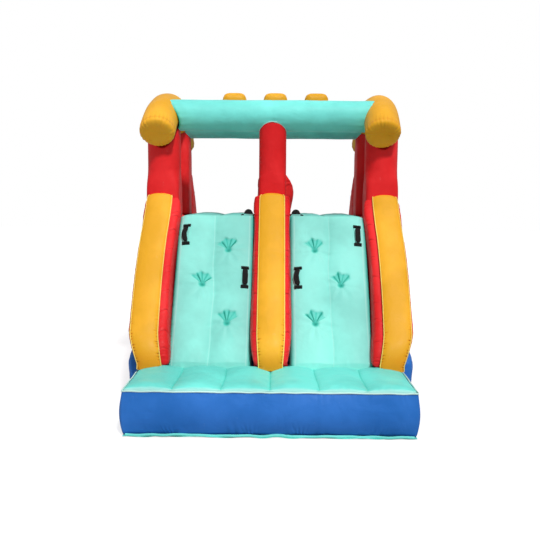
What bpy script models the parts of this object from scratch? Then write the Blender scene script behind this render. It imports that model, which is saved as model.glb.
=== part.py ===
"""Inflatable double water slide: landing mat, climbing lanes, platform with a bowed frame, slides, splash pool.

Metres, +Z up, +Y from the landing mat towards the splash pool. Every chamber is a sewn skin with its own wall,
open where it is sewn to the chamber that feeds it with air. Run with blender --background --python part.py.
"""

import math

import bmesh
import bpy
from mathutils import Matrix, Vector

for old in list(bpy.data.objects):
    bpy.data.objects.remove(old)

# Clearance between neighbours, and how far a cutter runs past the faces that it cuts.
GAP = 0.0003
OVERRUN = 0.05

# Chamber skins, and the round that air pressure gives to a chamber's sewn edges.
SKIN = 0.008
EDGE_ROUND = 0.045
CAVITY_CHAMFER = 0.028
CAVITY_DROP = 0.02

# Section of a crowned strip: shares of its half width, and of its crown given up there.
CROWN_SHARES = ((-1, 1), (-0.82, 0.43), (-0.5, 0.1), (0, 0), (0.5, 0.1), (0.82, 0.43), (1, 1))

# Stations across a cushion's rolled end, as shares of the roll, and the fullness of the cushions' curves.
ROLL_SHARES = (1 / 9, 1 / 3)
HUMP_POWER = 0.7
FOOTHOLD_POWER = 1.5
GRIP_POWER = 0.6
HOLD_SPACING_SHARES = (0.9, 0.55)
TAB_SLOPE_SHARE = 1 / 3

# Ground sheet.
SHEET_THICKNESS = 0.012
SHEET_MAT_HALF = 0.985
SHEET_BASE_HALF = 1.06

# Landing mat. Lengths along the slide are measured from the seam at the mat's front.
MAT_HALF_WIDTH = 1.008
MAT_DEPTH = 0.64
MAT_SEAM_HEIGHT = 0.313
MAT_BULGE = 0.03
MAT_TOE_INSET = 0.012
MAT_TOP_EDGE = 0.012
MAT_CROWN = 0.036
MAT_CHANNELS = 6
MAT_END_ROLL = 0.09

# Climbing lanes: foot and crest of the lane's face, and the cushion's own sizes.
LANE_FOOT_Y = MAT_DEPTH + GAP
LANE_FOOT_HEIGHT = 0.355
LANE_CREST_Y = 1.41
LANE_CREST_HEIGHT = 1.475
LANE_CENTRE_X = 0.4725
LANE_HALF_WIDTH = 0.3245
LANE_THICKNESS = 0.13
LANE_CROWN = 0.034
LANE_ROLL = 0.05
SIDE_DRAW = 0.008

# Footholds sewn into the lanes: distance up the lane, distance from the middle, and the pit's own sizes.
FOOTHOLDS = ((1.057, 0.358), (0.735, 0.569), (0.390, 0.350))
FOOTHOLD_RADIUS = 0.062
FOOTHOLD_DEPTH = 0.045

# Webbing handles: the grip, the backing patch, and the places of the handles.
GRIP_LENGTH = 0.150
GRIP_WIDTH = 0.040
GRIP_THICKNESS = 0.003
GRIP_RISE = 0.026
GRIP_AXIS_HEIGHT = 0.020
PATCH_PLATE = 0.0045
PATCH_MARGIN = 0.004
PATCH_TAB = 0.022
PATCH_TAB_HEIGHT = 0.024
PATCH_DEPTH = 0.030
OUTER_HANDLE_X = 0.718
OUTER_HANDLE_UP = 1.147
INNER_HANDLE_X = 0.218
INNER_HANDLE_UP = 0.744
CREST_GRIP_LENGTH = 0.080
CREST_HANDLE_X = 0.206
CREST_HANDLE_Y = 1.47

# Divider walls of the climbing side: outer line of the yellow strip, from its nose to the post.
WALL_HALF_THICKNESS = 0.143
WALL_ROUND_WIDTH = 0.045
WALL_ROUND = 0.03
SIDE_WALL_X = 0.945
STRIP_HALF_WIDTH = 0.108
STRIP_THICKNESS = 0.030
STRIP_CROWN = 0.026
STRIP_TOP_Y = 1.42
STRIP_TOP_HEIGHT = 1.685
STRIP_FOOT_Y = 0.535
STRIP_FOOT_HEIGHT = 0.51
NOSE_RADIUS = 0.10

# Base chambers along both sides.
BASE_INNER_X = 0.803
BASE_OUTER_X = 1.095
BASE_FRONT_HEIGHT = 0.365
BASE_HEIGHT = 0.45
BASE_STEP_Y = 0.70
BASE_RISE_Y = 0.80
CORE_HALF_WIDTH = 0.799

# Platform between the front and the rear posts.
PLATFORM_HEIGHT = 1.462
PLATFORM_THICKNESS = 0.13
PLATFORM_CROWN = 0.012
PLATFORM_ROLL = 0.04
PLATFORM_END_Y = 2.45
GUARD_HEIGHT = 1.93
GUARD_HALF_THICKNESS = 0.06

# Posts, crossbars and the bowed tubes over them.
FRONT_POST_Y = 1.56
REAR_POST_Y = 2.30
SIDE_POST_X = 0.945
SIDE_POST_RADIUS = 0.142
CENTRE_POST_RADIUS = 0.118
CROSSBAR_RADIUS = 0.134
CROSSBAR_HEIGHT = 2.336
ARCH_RADIUS = 0.148
ARCH_BOW_RADIUS = 0.85
ARCH_CROWN_HEIGHT = 2.415
ARCH_HALF_ANGLE = math.radians(45)
ARCH_CAP_BULGE = 0.045
AIR_PORT_RADIUS = 0.05

# Rounded blocks on the rear crossbar.
BLOCK_HALF_WIDTH = 0.12
BLOCK_HALF_DEPTH = 0.085
BLOCK_TOP_HEIGHT = 2.622
BLOCK_SPACING = 0.395
BLOCK_SHIFT = 0.02
BLOCK_ROUND = 0.04

# Slide side: lane faces, and the divider walls with their strips.
SLIDE_END_Y = 3.70
SLIDE_END_HEIGHT = 0.30
SLIDE_CENTRE_X = 0.4815
SLIDE_HALF_WIDTH = 0.3155
SLIDE_DIVIDER_HALF_THICKNESS = 0.162
SLIDE_STRIP_TOP_HEIGHT = 2.05
DIVIDER_STRIP_TOP_HEIGHT = 1.90
SLIDE_STRIP_FOOT_Y = 3.70
SLIDE_STRIP_FOOT_HEIGHT = 0.62
SLIDE_NOSE_RADIUS = 0.12

# Splash pool.
POOL_END_Y = 4.65
POOL_RIM_WIDTH = 0.26
POOL_RIM_HEIGHT = 0.33
POOL_OUTER_X = 1.095
POOL_FLOOR_THICKNESS = 0.06

# Air inlet sleeve at the back, and the two stake loops.
SLEEVE_RADIUS = 0.105
SLEEVE_LENGTH = 0.26
SLEEVE_X = -0.60
STAKE_LOOP_REACH = 0.085
STAKE_LOOP_LENGTH = 0.070
STAKE_LOOP_THICKNESS = 0.006
STAKE_WEBBING_WIDTH = 0.020
STAKE_LOOP_Y = 3.10

# Facets round the tubes and along curves.
TUBE_SIDES = 20
CAVITY_SIDES = 8
NOSE_STEPS = 4
ARCH_STEPS = 9
GRIP_STEPS = 10
BULGE_STEPS = 4

# Fabrics.
CYAN = (0.36, 0.85, 0.76)
BLUE = (0.03, 0.14, 0.48)
RED = (0.74, 0.03, 0.04)
YELLOW = (0.96, 0.50, 0.05)
BLACK = (0.01, 0.01, 0.012)
COATED_ROUGHNESS = 0.38
WEBBING_ROUGHNESS = 0.8

# The frame's origin is under the middle of the whole footprint.
MAT_FRONT_Y = MAT_TOE_INSET / 2 - MAT_BULGE
MIDDLE_Y = (POOL_END_Y + SLEEVE_LENGTH + MAT_FRONT_Y) / 2
SEAT = SHEET_THICKNESS + GAP


def material(name, colour, roughness):
    fabric = bpy.data.materials.get(name)
    if fabric is None:
        fabric = bpy.data.materials.new(name)
        fabric.use_nodes = True
        shader = fabric.node_tree.nodes["Principled BSDF"]
        shader.inputs["Base Color"].default_value = (*colour, 1)
        shader.inputs["Roughness"].default_value = roughness
        shader.inputs["Metallic"].default_value = 0
    return fabric


def cyan_fabric():
    return material("cyan_fabric", CYAN, COATED_ROUGHNESS)


def blue_fabric():
    return material("blue_fabric", BLUE, COATED_ROUGHNESS)


def red_fabric():
    return material("red_fabric", RED, COATED_ROUGHNESS)


def yellow_fabric():
    return material("yellow_fabric", YELLOW, COATED_ROUGHNESS)


def black_webbing():
    return material("black_webbing", BLACK, WEBBING_ROUGHNESS)


def place(name, shape, fabric, frame=Matrix()):
    """Turns a closed bmesh into an object; frame carries it from its own axes to the slide's."""
    bmesh.ops.recalc_face_normals(shape, faces=shape.faces)
    mesh = bpy.data.meshes.new(name)
    shape.to_mesh(mesh)
    shape.free()
    piece = bpy.data.objects.new(name, mesh)
    bpy.context.scene.collection.objects.link(piece)
    piece.matrix_world = Matrix.Translation((0, -MIDDLE_Y, 0)) @ frame
    if fabric is None:
        piece.hide_render = True
        piece.display_type = "WIRE"
    else:
        mesh.materials.append(fabric)
        mesh.shade_smooth()
        mesh.set_sharp_from_angle(angle=math.radians(40))
    return piece


def stack(rings):
    """A closed bmesh through rings of points, each with as many points as the next."""
    shape = bmesh.new()
    loops = [[shape.verts.new(point) for point in ring] for ring in rings]
    count = len(rings[0])
    for lower, upper in zip(loops, loops[1:]):
        for i in range(count):
            j = (i + 1) % count
            shape.faces.new((lower[i], lower[j], upper[j], upper[i]))
    shape.faces.new(loops[0])
    shape.faces.new(loops[-1])
    return shape


def prism_x(outline, low, high):
    """An outline of (y, z) points, extruded from x low to x high."""
    return stack([[(x, y, z) for y, z in outline] for x in (low, high)])


def prism_y(outline, low, high):
    """An outline of (x, z) points, extruded from y low to y high."""
    return stack([[(x, y, z) for x, z in outline] for y in (low, high)])


def prism_z(outline, low, high):
    """An outline of (x, y) points, extruded from z low to z high."""
    return stack([[(x, y, z) for x, y in outline] for z in (low, high)])


def circle(radius, sides):
    turn = 2 * math.pi / sides
    return [(radius * math.cos(i * turn), radius * math.sin(i * turn)) for i in range(sides)]


def arc(centre, radius, start, end, steps):
    turn = (end - start) / steps
    angles = [start + i * turn for i in range(steps + 1)]
    return [(centre[0] + radius * math.cos(a), centre[1] + radius * math.sin(a)) for a in angles]


def inset(outline, distance):
    """A closed outline moved inwards by a distance, with mitred corners."""
    doubled_area = sum(
        a[0] * b[1] - b[0] * a[1] for a, b in zip(outline, outline[1:] + outline[:1])
    )
    side = 1 if doubled_area > 0 else -1
    moved = []
    for before, here, after in zip(outline[-1:] + outline[:-1], outline, outline[1:] + outline[:1]):
        first = (Vector(here) - Vector(before)).normalized()
        second = (Vector(after) - Vector(here)).normalized()
        first_normal = Vector((-first.y, first.x)) * side
        second_normal = Vector((-second.y, second.x)) * side
        mitre = (first_normal + second_normal).normalized()
        reach = distance / mitre.dot(first_normal)
        moved.append((here[0] + mitre.x * reach, here[1] + mitre.y * reach))
    return moved


def hollow_in(outline, foot, rounding=0):
    """A cavity's outline inside a chamber's, run out through the foot: the points of its open side."""
    drop = SKIN + CAVITY_DROP + rounding
    pairs = zip(outline, inset(outline, SKIN))
    return [(a, z - drop) if point in foot else (a, z) for point, (a, z) in pairs]


def round_edges(piece, width, segments):
    bevel = piece.modifiers.new("round_edges", "BEVEL")
    bevel.width = width
    bevel.segments = segments
    bevel.limit_method = "ANGLE"
    bevel.angle_limit = math.radians(50)
    return piece


def round_panel(outline, low, high, width, depth, steps):
    """A prism along X whose edges round both side faces are rounded; its other edges stay sharp."""
    rings = []
    for share in even(0, 1, steps):
        angle = share * math.pi / 2
        rings.append((width - width * math.cos(angle), inset(outline, depth - depth * math.sin(angle))))
    near = [[(low + x, y, z) for y, z in ring] for x, ring in rings]
    far = [[(high - x, y, z) for y, z in ring] for x, ring in rings]
    return stack(near + far[::-1])


def cut(piece, *cutters):
    for cutter in cutters:
        boolean = piece.modifiers.new("cut", "BOOLEAN")
        boolean.operation = "DIFFERENCE"
        boolean.solver = "EXACT"
        boolean.object = cutter
    return piece


def chamber(name, outline, foot, low, high, fabric):
    """An inflated panel: an outline of (y, z) points from x low to x high, hollow and open at its foot."""
    piece = place(name, prism_x(outline, low, high), fabric)
    round_edges(piece, EDGE_ROUND, 2)
    hollow = hollow_in(outline, foot)
    cavity = place(name + "_cavity", prism_x(hollow, low + SKIN, high - SKIN), None)
    round_edges(cavity, CAVITY_CHAMFER, 1)
    return cut(piece, cavity)


def divider(name, outline, foot, x, half, fabric):
    """A wall round x: as a chamber, but only its sides are rounded, because posts and strips meet its edges."""
    piece = place(name, round_panel(outline, x - half, x + half, WALL_ROUND_WIDTH, WALL_ROUND, 2), fabric)
    hollow = hollow_in(outline, foot, WALL_ROUND)
    reach = half - SKIN
    shape = round_panel(hollow, x - reach, x + reach, WALL_ROUND_WIDTH, WALL_ROUND, 1)
    cavity = place(name + "_cavity", shape, None)
    return cut(piece, cavity)


def upright(name, radius, x, y, low, high, sides, fabric):
    ring = [(x + a, y + b) for a, b in circle(radius, sides)]
    return place(name, prism_z(ring, low, high), fabric)


def humps(share):
    """Crown of one sewn channel, from 0 at its seams to 1 between them, by its share of the channel's width."""
    return abs(math.sin(math.pi * share)) ** HUMP_POWER


def quilt(name, across, along, top, bottom, fabric):
    """A cushion over a grid: top and bottom give the points over (across, along); the sides are drawn in."""
    shape = bmesh.new()
    grid = [[shape.verts.new(top(a, b)) for b in along] for a in across]
    for i in range(len(across) - 1):
        for j in range(len(along) - 1):
            shape.faces.new((grid[i][j], grid[i + 1][j], grid[i + 1][j + 1], grid[i][j + 1]))
    bmesh.ops.triangulate(shape, faces=shape.faces, quad_method="FIXED")
    last_a = len(across) - 1
    last_b = len(along) - 1
    edge = [(i, 0) for i in range(last_a)]
    edge += [(last_a, j) for j in range(last_b)]
    edge += [(i, last_b) for i in range(last_a, 0, -1)]
    edge += [(0, j) for j in range(last_b, 0, -1)]
    rim = [grid[i][j] for i, j in edge]
    middle_a = (across[0] + across[-1]) / 2
    waist = []
    foot = []
    for i, j in edge:
        low = Vector(bottom(across[i], along[j]))
        high = Vector(top(across[i], along[j]))
        half = (low + high) / 2
        if i in (0, last_a):
            half.x += SIDE_DRAW if across[i] < middle_a else -SIDE_DRAW
        waist.append(shape.verts.new(half))
        foot.append(shape.verts.new(low))
    for upper, lower in ((rim, waist), (waist, foot)):
        for i in range(len(edge)):
            j = (i + 1) % len(edge)
            shape.faces.new((upper[i], upper[j], lower[j], lower[i]))
    shape.faces.new(foot)
    return place(name, shape, fabric)


def even(low, high, count):
    return [low + (high - low) * i / count for i in range(count + 1)]


def with_stations(stations, extra, spacing):
    """Adds stations to an even run, and drops the even ones that lie within a spacing of them."""
    ends = (stations[0], stations[-1])
    kept = [s for s in stations if s in ends or all(abs(s - e) > spacing for e in extra)]
    return sorted(kept + list(extra))


# Slope of the climbing lanes, and places on it: across, up the lane, and out from its face.
CLIMB = Vector((LANE_CREST_Y - LANE_FOOT_Y, LANE_CREST_HEIGHT - LANE_FOOT_HEIGHT))
CLIMB_LENGTH = CLIMB.length
UP_LANE = CLIMB.normalized()
OFF_LANE = Vector((-UP_LANE.y, UP_LANE.x))
LANE_SHEAR = OFF_LANE.x / UP_LANE.x


def on_lane(x, up, out):
    y = LANE_FOOT_Y + up * UP_LANE.x + out * OFF_LANE.x
    z = LANE_FOOT_HEIGHT + up * UP_LANE.y + out * OFF_LANE.y
    return Vector((x, y, z))


def lane_crown(x, up):
    """Height of a lane's fabric over its flat face: two channels, rolled ends, and the footholds' pits."""
    share = (abs(x) - LANE_CENTRE_X + LANE_HALF_WIDTH) / LANE_HALF_WIDTH
    height = LANE_CROWN * humps(share)
    from_end = min(up, CLIMB_LENGTH - up)
    if from_end < LANE_ROLL:
        height *= math.sqrt(max(0, 1 - (1 - max(from_end, 0) / LANE_ROLL) ** 2))
    for hold_up, hold_x in FOOTHOLDS:
        away = math.hypot(up - hold_up, abs(x) - hold_x) / FOOTHOLD_RADIUS
        if away < 1:
            height -= FOOTHOLD_DEPTH * (1 - away) ** FOOTHOLD_POWER
    return height


def climb_lane(name, side, fabric, grow=0):
    """One climbing lane on a side of -1 or 1. Its foot and crest faces are upright, against their neighbours."""
    half = FOOTHOLD_RADIUS / 2
    offsets = (-FOOTHOLD_RADIUS, -half, 0, half, FOOTHOLD_RADIUS)
    ups = [hold_up + o for hold_up, _ in FOOTHOLDS for o in offsets]
    roll = LANE_ROLL * ROLL_SHARES[1]
    lengths = with_stations(even(0, CLIMB_LENGTH, 16), ups, half * HOLD_SPACING_SHARES[0])
    lengths = lengths[:1] + [roll] + lengths[1:-1] + [CLIMB_LENGTH - roll] + lengths[-1:]
    holds_x = sorted({(FOOTHOLDS[0][1] + FOOTHOLDS[2][1]) / 2, FOOTHOLDS[1][1]})
    centres = [x + o for x in holds_x for o in (-half, 0, half)]
    widths = even(LANE_CENTRE_X - LANE_HALF_WIDTH, LANE_CENTRE_X + LANE_HALF_WIDTH, 16)
    widths = with_stations(widths, centres, half * HOLD_SPACING_SHARES[1])
    across = sorted(side * x for x in widths)

    def top(x, up):
        return on_lane(x, up, lane_crown(x, up) + grow)

    def bottom(x, up):
        return on_lane(x, up + LANE_THICKNESS * LANE_SHEAR, -LANE_THICKNESS)

    return quilt(name, across, lengths, top, bottom, fabric)


def lane_cavity(name, side):
    """Hollow of a climbing lane, open to the chamber below it."""
    low = LANE_CENTRE_X - LANE_HALF_WIDTH + 2 * SKIN
    high = LANE_CENTRE_X + LANE_HALF_WIDTH - 2 * SKIN
    start = on_lane(0, EDGE_ROUND, -FOOTHOLD_DEPTH - SKIN)
    end = on_lane(0, CLIMB_LENGTH - EDGE_ROUND, -FOOTHOLD_DEPTH - SKIN)
    down = LANE_THICKNESS / UP_LANE.x
    outline = [(start.y, start.z), (end.y, end.z), (end.y, end.z - down), (start.y, start.z - down)]
    xs = sorted((side * low, side * high))
    return place(name, prism_x(outline, *xs), None)


# Slope of the slides, in the same terms. Down the slide is towards the pool.
SLIDE_START_HEIGHT = PLATFORM_HEIGHT
SLIDE = Vector((SLIDE_END_Y - PLATFORM_END_Y, SLIDE_END_HEIGHT - SLIDE_START_HEIGHT))
SLIDE_LENGTH = SLIDE.length
DOWN_SLIDE = SLIDE.normalized()
OFF_SLIDE = Vector((-DOWN_SLIDE.y, DOWN_SLIDE.x))
SLIDE_SHEAR = OFF_SLIDE.x / DOWN_SLIDE.x


def on_slide(x, down, out):
    y = PLATFORM_END_Y + GAP + down * DOWN_SLIDE.x + out * OFF_SLIDE.x
    z = SLIDE_START_HEIGHT + down * DOWN_SLIDE.y + out * OFF_SLIDE.y
    return Vector((x, y, z))


def slide_lane(name, side, fabric):
    widths = even(SLIDE_CENTRE_X - SLIDE_HALF_WIDTH, SLIDE_CENTRE_X + SLIDE_HALF_WIDTH, 12)
    across = sorted(side * x for x in widths)
    lengths = even(0, SLIDE_LENGTH, 8)
    roll = LANE_ROLL * ROLL_SHARES[1]
    lengths = lengths[:1] + [roll, LANE_ROLL] + lengths[1:-1]
    lengths += [SLIDE_LENGTH - LANE_ROLL, SLIDE_LENGTH - roll, SLIDE_LENGTH]

    def top(x, down):
        share = (abs(x) - SLIDE_CENTRE_X + SLIDE_HALF_WIDTH) / SLIDE_HALF_WIDTH
        from_end = min(down, SLIDE_LENGTH - down)
        height = LANE_CROWN * humps(share)
        if from_end < LANE_ROLL:
            height *= math.sqrt(max(0, 1 - (1 - from_end / LANE_ROLL) ** 2))
        return on_slide(x, down, height)

    def bottom(x, down):
        return on_slide(x, down + LANE_THICKNESS * SLIDE_SHEAR, -LANE_THICKNESS)

    piece = quilt(name, across, lengths, top, bottom, fabric)
    start = on_slide(0, EDGE_ROUND, -2 * SKIN)
    end = on_slide(0, SLIDE_LENGTH - EDGE_ROUND, -2 * SKIN)
    drop = LANE_THICKNESS / DOWN_SLIDE.x
    outline = [(start.y, start.z), (end.y, end.z), (end.y, end.z - drop), (start.y, start.z - drop)]
    xs = sorted((across[0] + 2 * SKIN, across[-1] - 2 * SKIN))
    return cut(piece, place(name + "_cavity", prism_x(outline, *xs), None))


def post_cutter(name, x, y):
    radius = CENTRE_POST_RADIUS if x == 0 else SIDE_POST_RADIUS
    return upright(name, radius + GAP, x, y, PLATFORM_HEIGHT, ARCH_CROWN_HEIGHT, TUBE_SIDES, None)


def build_ground_sheet():
    outline = [
        (-SHEET_MAT_HALF, 0),
        (SHEET_MAT_HALF, 0),
        (SHEET_MAT_HALF, MAT_DEPTH),
        (SHEET_BASE_HALF, MAT_DEPTH),
        (SHEET_BASE_HALF, POOL_END_Y),
        (-SHEET_BASE_HALF, POOL_END_Y),
        (-SHEET_BASE_HALF, MAT_DEPTH),
        (-SHEET_MAT_HALF, MAT_DEPTH),
    ]
    place("ground_sheet", prism_z(outline, 0, SHEET_THICKNESS), cyan_fabric())


def build_landing_mat():
    """Blue tray with a bulging front, open on top, under a cyan quilted cushion with six channels."""
    chord = MAT_SEAM_HEIGHT - SEAT
    front = []
    for share in even(0, 1, BULGE_STEPS):
        bulge = MAT_BULGE * math.sin(math.pi * share)
        toe = MAT_TOE_INSET * (1 - share)
        front.append((toe - bulge, SEAT + chord * share))
    outline = [(MAT_DEPTH, SEAT)] + front + [(MAT_DEPTH, MAT_SEAM_HEIGHT)]
    tray = place("mat_tray", prism_x(outline, -MAT_HALF_WIDTH, MAT_HALF_WIDTH), blue_fabric())
    round_edges(tray, MAT_TOP_EDGE, 2)
    wall = MAT_TOP_EDGE + SKIN
    hollow = [
        (MAT_DEPTH - wall, SEAT + SKIN),
        (wall, SEAT + SKIN),
        (wall, MAT_SEAM_HEIGHT + OVERRUN),
        (MAT_DEPTH - wall, MAT_SEAM_HEIGHT + OVERRUN),
    ]
    reach = MAT_HALF_WIDTH - wall
    cut(tray, place("mat_tray_cavity", prism_x(hollow, -reach, reach), None))

    half = MAT_HALF_WIDTH - MAT_TOP_EDGE
    channel = 2 * half / MAT_CHANNELS
    across = even(-half, half, MAT_CHANNELS * 6)
    rolls = [MAT_END_ROLL * share for share in ROLL_SHARES]
    along = even(MAT_TOP_EDGE, MAT_DEPTH - MAT_TOP_EDGE, 7)
    front_rolls = [along[0] + r for r in rolls]
    back_rolls = [along[-1] - r for r in rolls]
    along = along[:1] + front_rolls + along[1:-1] + back_rolls[::-1] + along[-1:]

    def top(x, y):
        from_end = min(y - along[0], along[-1] - y)
        height = MAT_CROWN * humps((x + half) / channel)
        if from_end < MAT_END_ROLL:
            height *= math.sqrt(max(0, 1 - (1 - from_end / MAT_END_ROLL) ** 2))
        return (x, y, MAT_SEAM_HEIGHT + MAT_TOP_EDGE + height)

    def bottom(x, y):
        return (x, y, MAT_SEAM_HEIGHT + GAP)

    quilt("mat_top", across, along, top, bottom, cyan_fabric())


def climb_core_outline():
    """Core under the climbing lanes: (y, z) points, with the lanes' underside as its slope."""
    drop = LANE_THICKNESS / UP_LANE.x + GAP / UP_LANE.x
    slope = UP_LANE.y / UP_LANE.x
    front = LANE_FOOT_Y
    toe = LANE_FOOT_HEIGHT - drop
    top = toe + slope * (LANE_CREST_Y - front)
    return [(front, SEAT), (LANE_CREST_Y, SEAT), (LANE_CREST_Y, top), (front, toe)]


def slide_core_outline():
    drop = (LANE_THICKNESS + GAP) / DOWN_SLIDE.x
    start = PLATFORM_END_Y + GAP
    high = SLIDE_START_HEIGHT - drop
    low = SLIDE_END_HEIGHT - drop
    return [(start, SEAT), (SLIDE_END_Y, SEAT), (SLIDE_END_Y, low), (start, high)]


def build_core():
    """The three chambers that carry the lanes, the platform and the slides."""
    chambers = (
        ("climb_core", climb_core_outline()),
        (
            "platform_core",
            [
                (LANE_CREST_Y + GAP, SEAT),
                (PLATFORM_END_Y, SEAT),
                (PLATFORM_END_Y, PLATFORM_HEIGHT - PLATFORM_THICKNESS - GAP),
                (LANE_CREST_Y + GAP, PLATFORM_HEIGHT - PLATFORM_THICKNESS - GAP),
            ],
        ),
        ("slide_core", slide_core_outline()),
    )
    for name, outline in chambers:
        piece = place(name, prism_x(outline, -CORE_HALF_WIDTH, CORE_HALF_WIDTH), blue_fabric())
        hollow = hollow_in(outline, [point for point in outline if point[1] == SEAT])
        reach = CORE_HALF_WIDTH - SKIN
        cut(piece, place(name + "_cavity", prism_x(hollow, -reach, reach), None))


def base_top(lift=0):
    """Top line of a base chamber, from its low front end to the pool."""
    return [
        (MAT_DEPTH + GAP, BASE_FRONT_HEIGHT + lift),
        (BASE_STEP_Y, BASE_FRONT_HEIGHT + lift),
        (BASE_RISE_Y, BASE_HEIGHT + lift),
        (SLIDE_END_Y, BASE_HEIGHT + lift),
    ]


def build_base_sides():
    for name, side in (("left_base", -1), ("right_base", 1)):
        foot = [(SLIDE_END_Y, SEAT), (MAT_DEPTH + GAP, SEAT)]
        low, high = sorted((side * BASE_INNER_X, side * BASE_OUTER_X))
        chamber(name, base_top() + foot, foot, low, high, blue_fabric())


def strip_line(depth):
    """The strip's outer line on the climbing side, moved in by a depth: from under its nose up to the post."""
    line = Vector((STRIP_TOP_Y - STRIP_FOOT_Y, STRIP_TOP_HEIGHT - STRIP_FOOT_HEIGHT)).normalized()
    inward = Vector((line.y, -line.x))
    centre = Vector((STRIP_FOOT_Y, STRIP_FOOT_HEIGHT)) + inward * NOSE_RADIUS
    radius = NOSE_RADIUS - depth
    end = math.atan2(-inward.y, -inward.x)
    nose = [(centre.x - radius, BASE_FRONT_HEIGHT + GAP)] + arc(centre, radius, math.pi, end, NOSE_STEPS)
    top = Vector((STRIP_TOP_Y, STRIP_TOP_HEIGHT)) + inward * depth
    return nose + [(STRIP_TOP_Y, top.y + (STRIP_TOP_Y - top.x) * line.y / line.x)]


def slide_strip_line(depth, top_height):
    """The same on the slide side: from the rear post down to under the nose over the pool's edge."""
    start_y = REAR_POST_Y + SIDE_POST_RADIUS / 2
    line = Vector((SLIDE_STRIP_FOOT_Y - start_y, SLIDE_STRIP_FOOT_HEIGHT - top_height)).normalized()
    inward = Vector((line.y, -line.x))
    centre = Vector((SLIDE_STRIP_FOOT_Y, SLIDE_STRIP_FOOT_HEIGHT)) + inward * SLIDE_NOSE_RADIUS
    radius = SLIDE_NOSE_RADIUS - depth
    first = math.atan2(-inward.y, -inward.x)
    nose = arc(centre, radius, first, 0, NOSE_STEPS) + [(centre.x + radius, BASE_HEIGHT + GAP)]
    top = Vector((start_y, top_height)) + inward * depth
    return [(start_y, top.y + (start_y - top.x) * line.y / line.x)] + nose


def strip(name, x, line, cutter):
    """A yellow strip with a crowned face; line gives its outer line moved in by a depth."""
    rings = []
    for width_share, depth_share in CROWN_SHARES:
        outline = line(STRIP_CROWN * depth_share) + line(STRIP_THICKNESS)[::-1]
        rings.append([(x + STRIP_HALF_WIDTH * width_share, y, z) for y, z in outline])
    cut(place(name, stack(rings), yellow_fabric()), cutter)


def build_climb_walls():
    """Three red walls beside the lanes, each with a yellow strip sewn along its top edge."""
    face = strip_line(STRIP_THICKNESS + GAP)
    for name, x in (("left", -SIDE_WALL_X), ("centre", 0), ("right", SIDE_WALL_X)):
        post_x = math.copysign(SIDE_POST_X, x) if x else 0
        cutter = post_cutter(name + "_front_post_space", post_x, FRONT_POST_Y)
        if x:
            back = FRONT_POST_Y + SIDE_POST_RADIUS
            foot = [(back, BASE_HEIGHT + GAP)] + base_top(GAP)[1:3][::-1]
            rest = [(STRIP_TOP_Y, PLATFORM_HEIGHT), (back, PLATFORM_HEIGHT)] + foot
        else:
            toe, top = climb_core_outline()[3], climb_core_outline()[2]
            lift = 2 * GAP / UP_LANE.x
            foot = [(LANE_CREST_Y, top[1] + lift), (toe[0], toe[1] + lift)]
            rest = [(FRONT_POST_Y, face[-1][1]), (FRONT_POST_Y, PLATFORM_HEIGHT + GAP)]
            rest += [(LANE_CREST_Y, PLATFORM_HEIGHT + GAP)]
            rest += foot + [(toe[0], BASE_FRONT_HEIGHT + GAP)]
        wall = divider(name + "_climb_wall", face + rest, foot, x, WALL_HALF_THICKNESS, red_fabric())
        cut(wall, cutter)
        strip(name + "_climb_strip", x, strip_line, cutter)


def deck_cushion(name, fabric, grow=0):
    """The deck over the platform's core: two humps behind each lane, flat where the centre posts stand."""
    across = [0, CENTRE_POST_RADIUS + GAP]
    across += even(LANE_CENTRE_X - LANE_HALF_WIDTH, LANE_CENTRE_X + LANE_HALF_WIDTH, 8)
    across += [CORE_HALF_WIDTH]
    across = sorted({-x for x in across} | set(across))
    start = LANE_CREST_Y + GAP
    along = even(start, PLATFORM_END_Y, 4)
    roll = PLATFORM_ROLL * ROLL_SHARES[1]
    along = along[:1] + [start + roll] + along[1:-1]
    along += [PLATFORM_END_Y - roll, PLATFORM_END_Y]

    def top(x, y):
        share = (abs(x) - LANE_CENTRE_X + LANE_HALF_WIDTH) / LANE_HALF_WIDTH
        from_end = min(y - start, PLATFORM_END_Y - y)
        height = PLATFORM_CROWN * humps(share) if 0 < share < 2 else 0
        if from_end < PLATFORM_ROLL:
            height *= math.sqrt(max(0, 1 - (1 - from_end / PLATFORM_ROLL) ** 2))
        return (x, y, PLATFORM_HEIGHT + height + grow)

    def bottom(x, y):
        return (x, y, PLATFORM_HEIGHT - PLATFORM_THICKNESS)

    return quilt(name, across, along, top, bottom, fabric)


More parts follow.
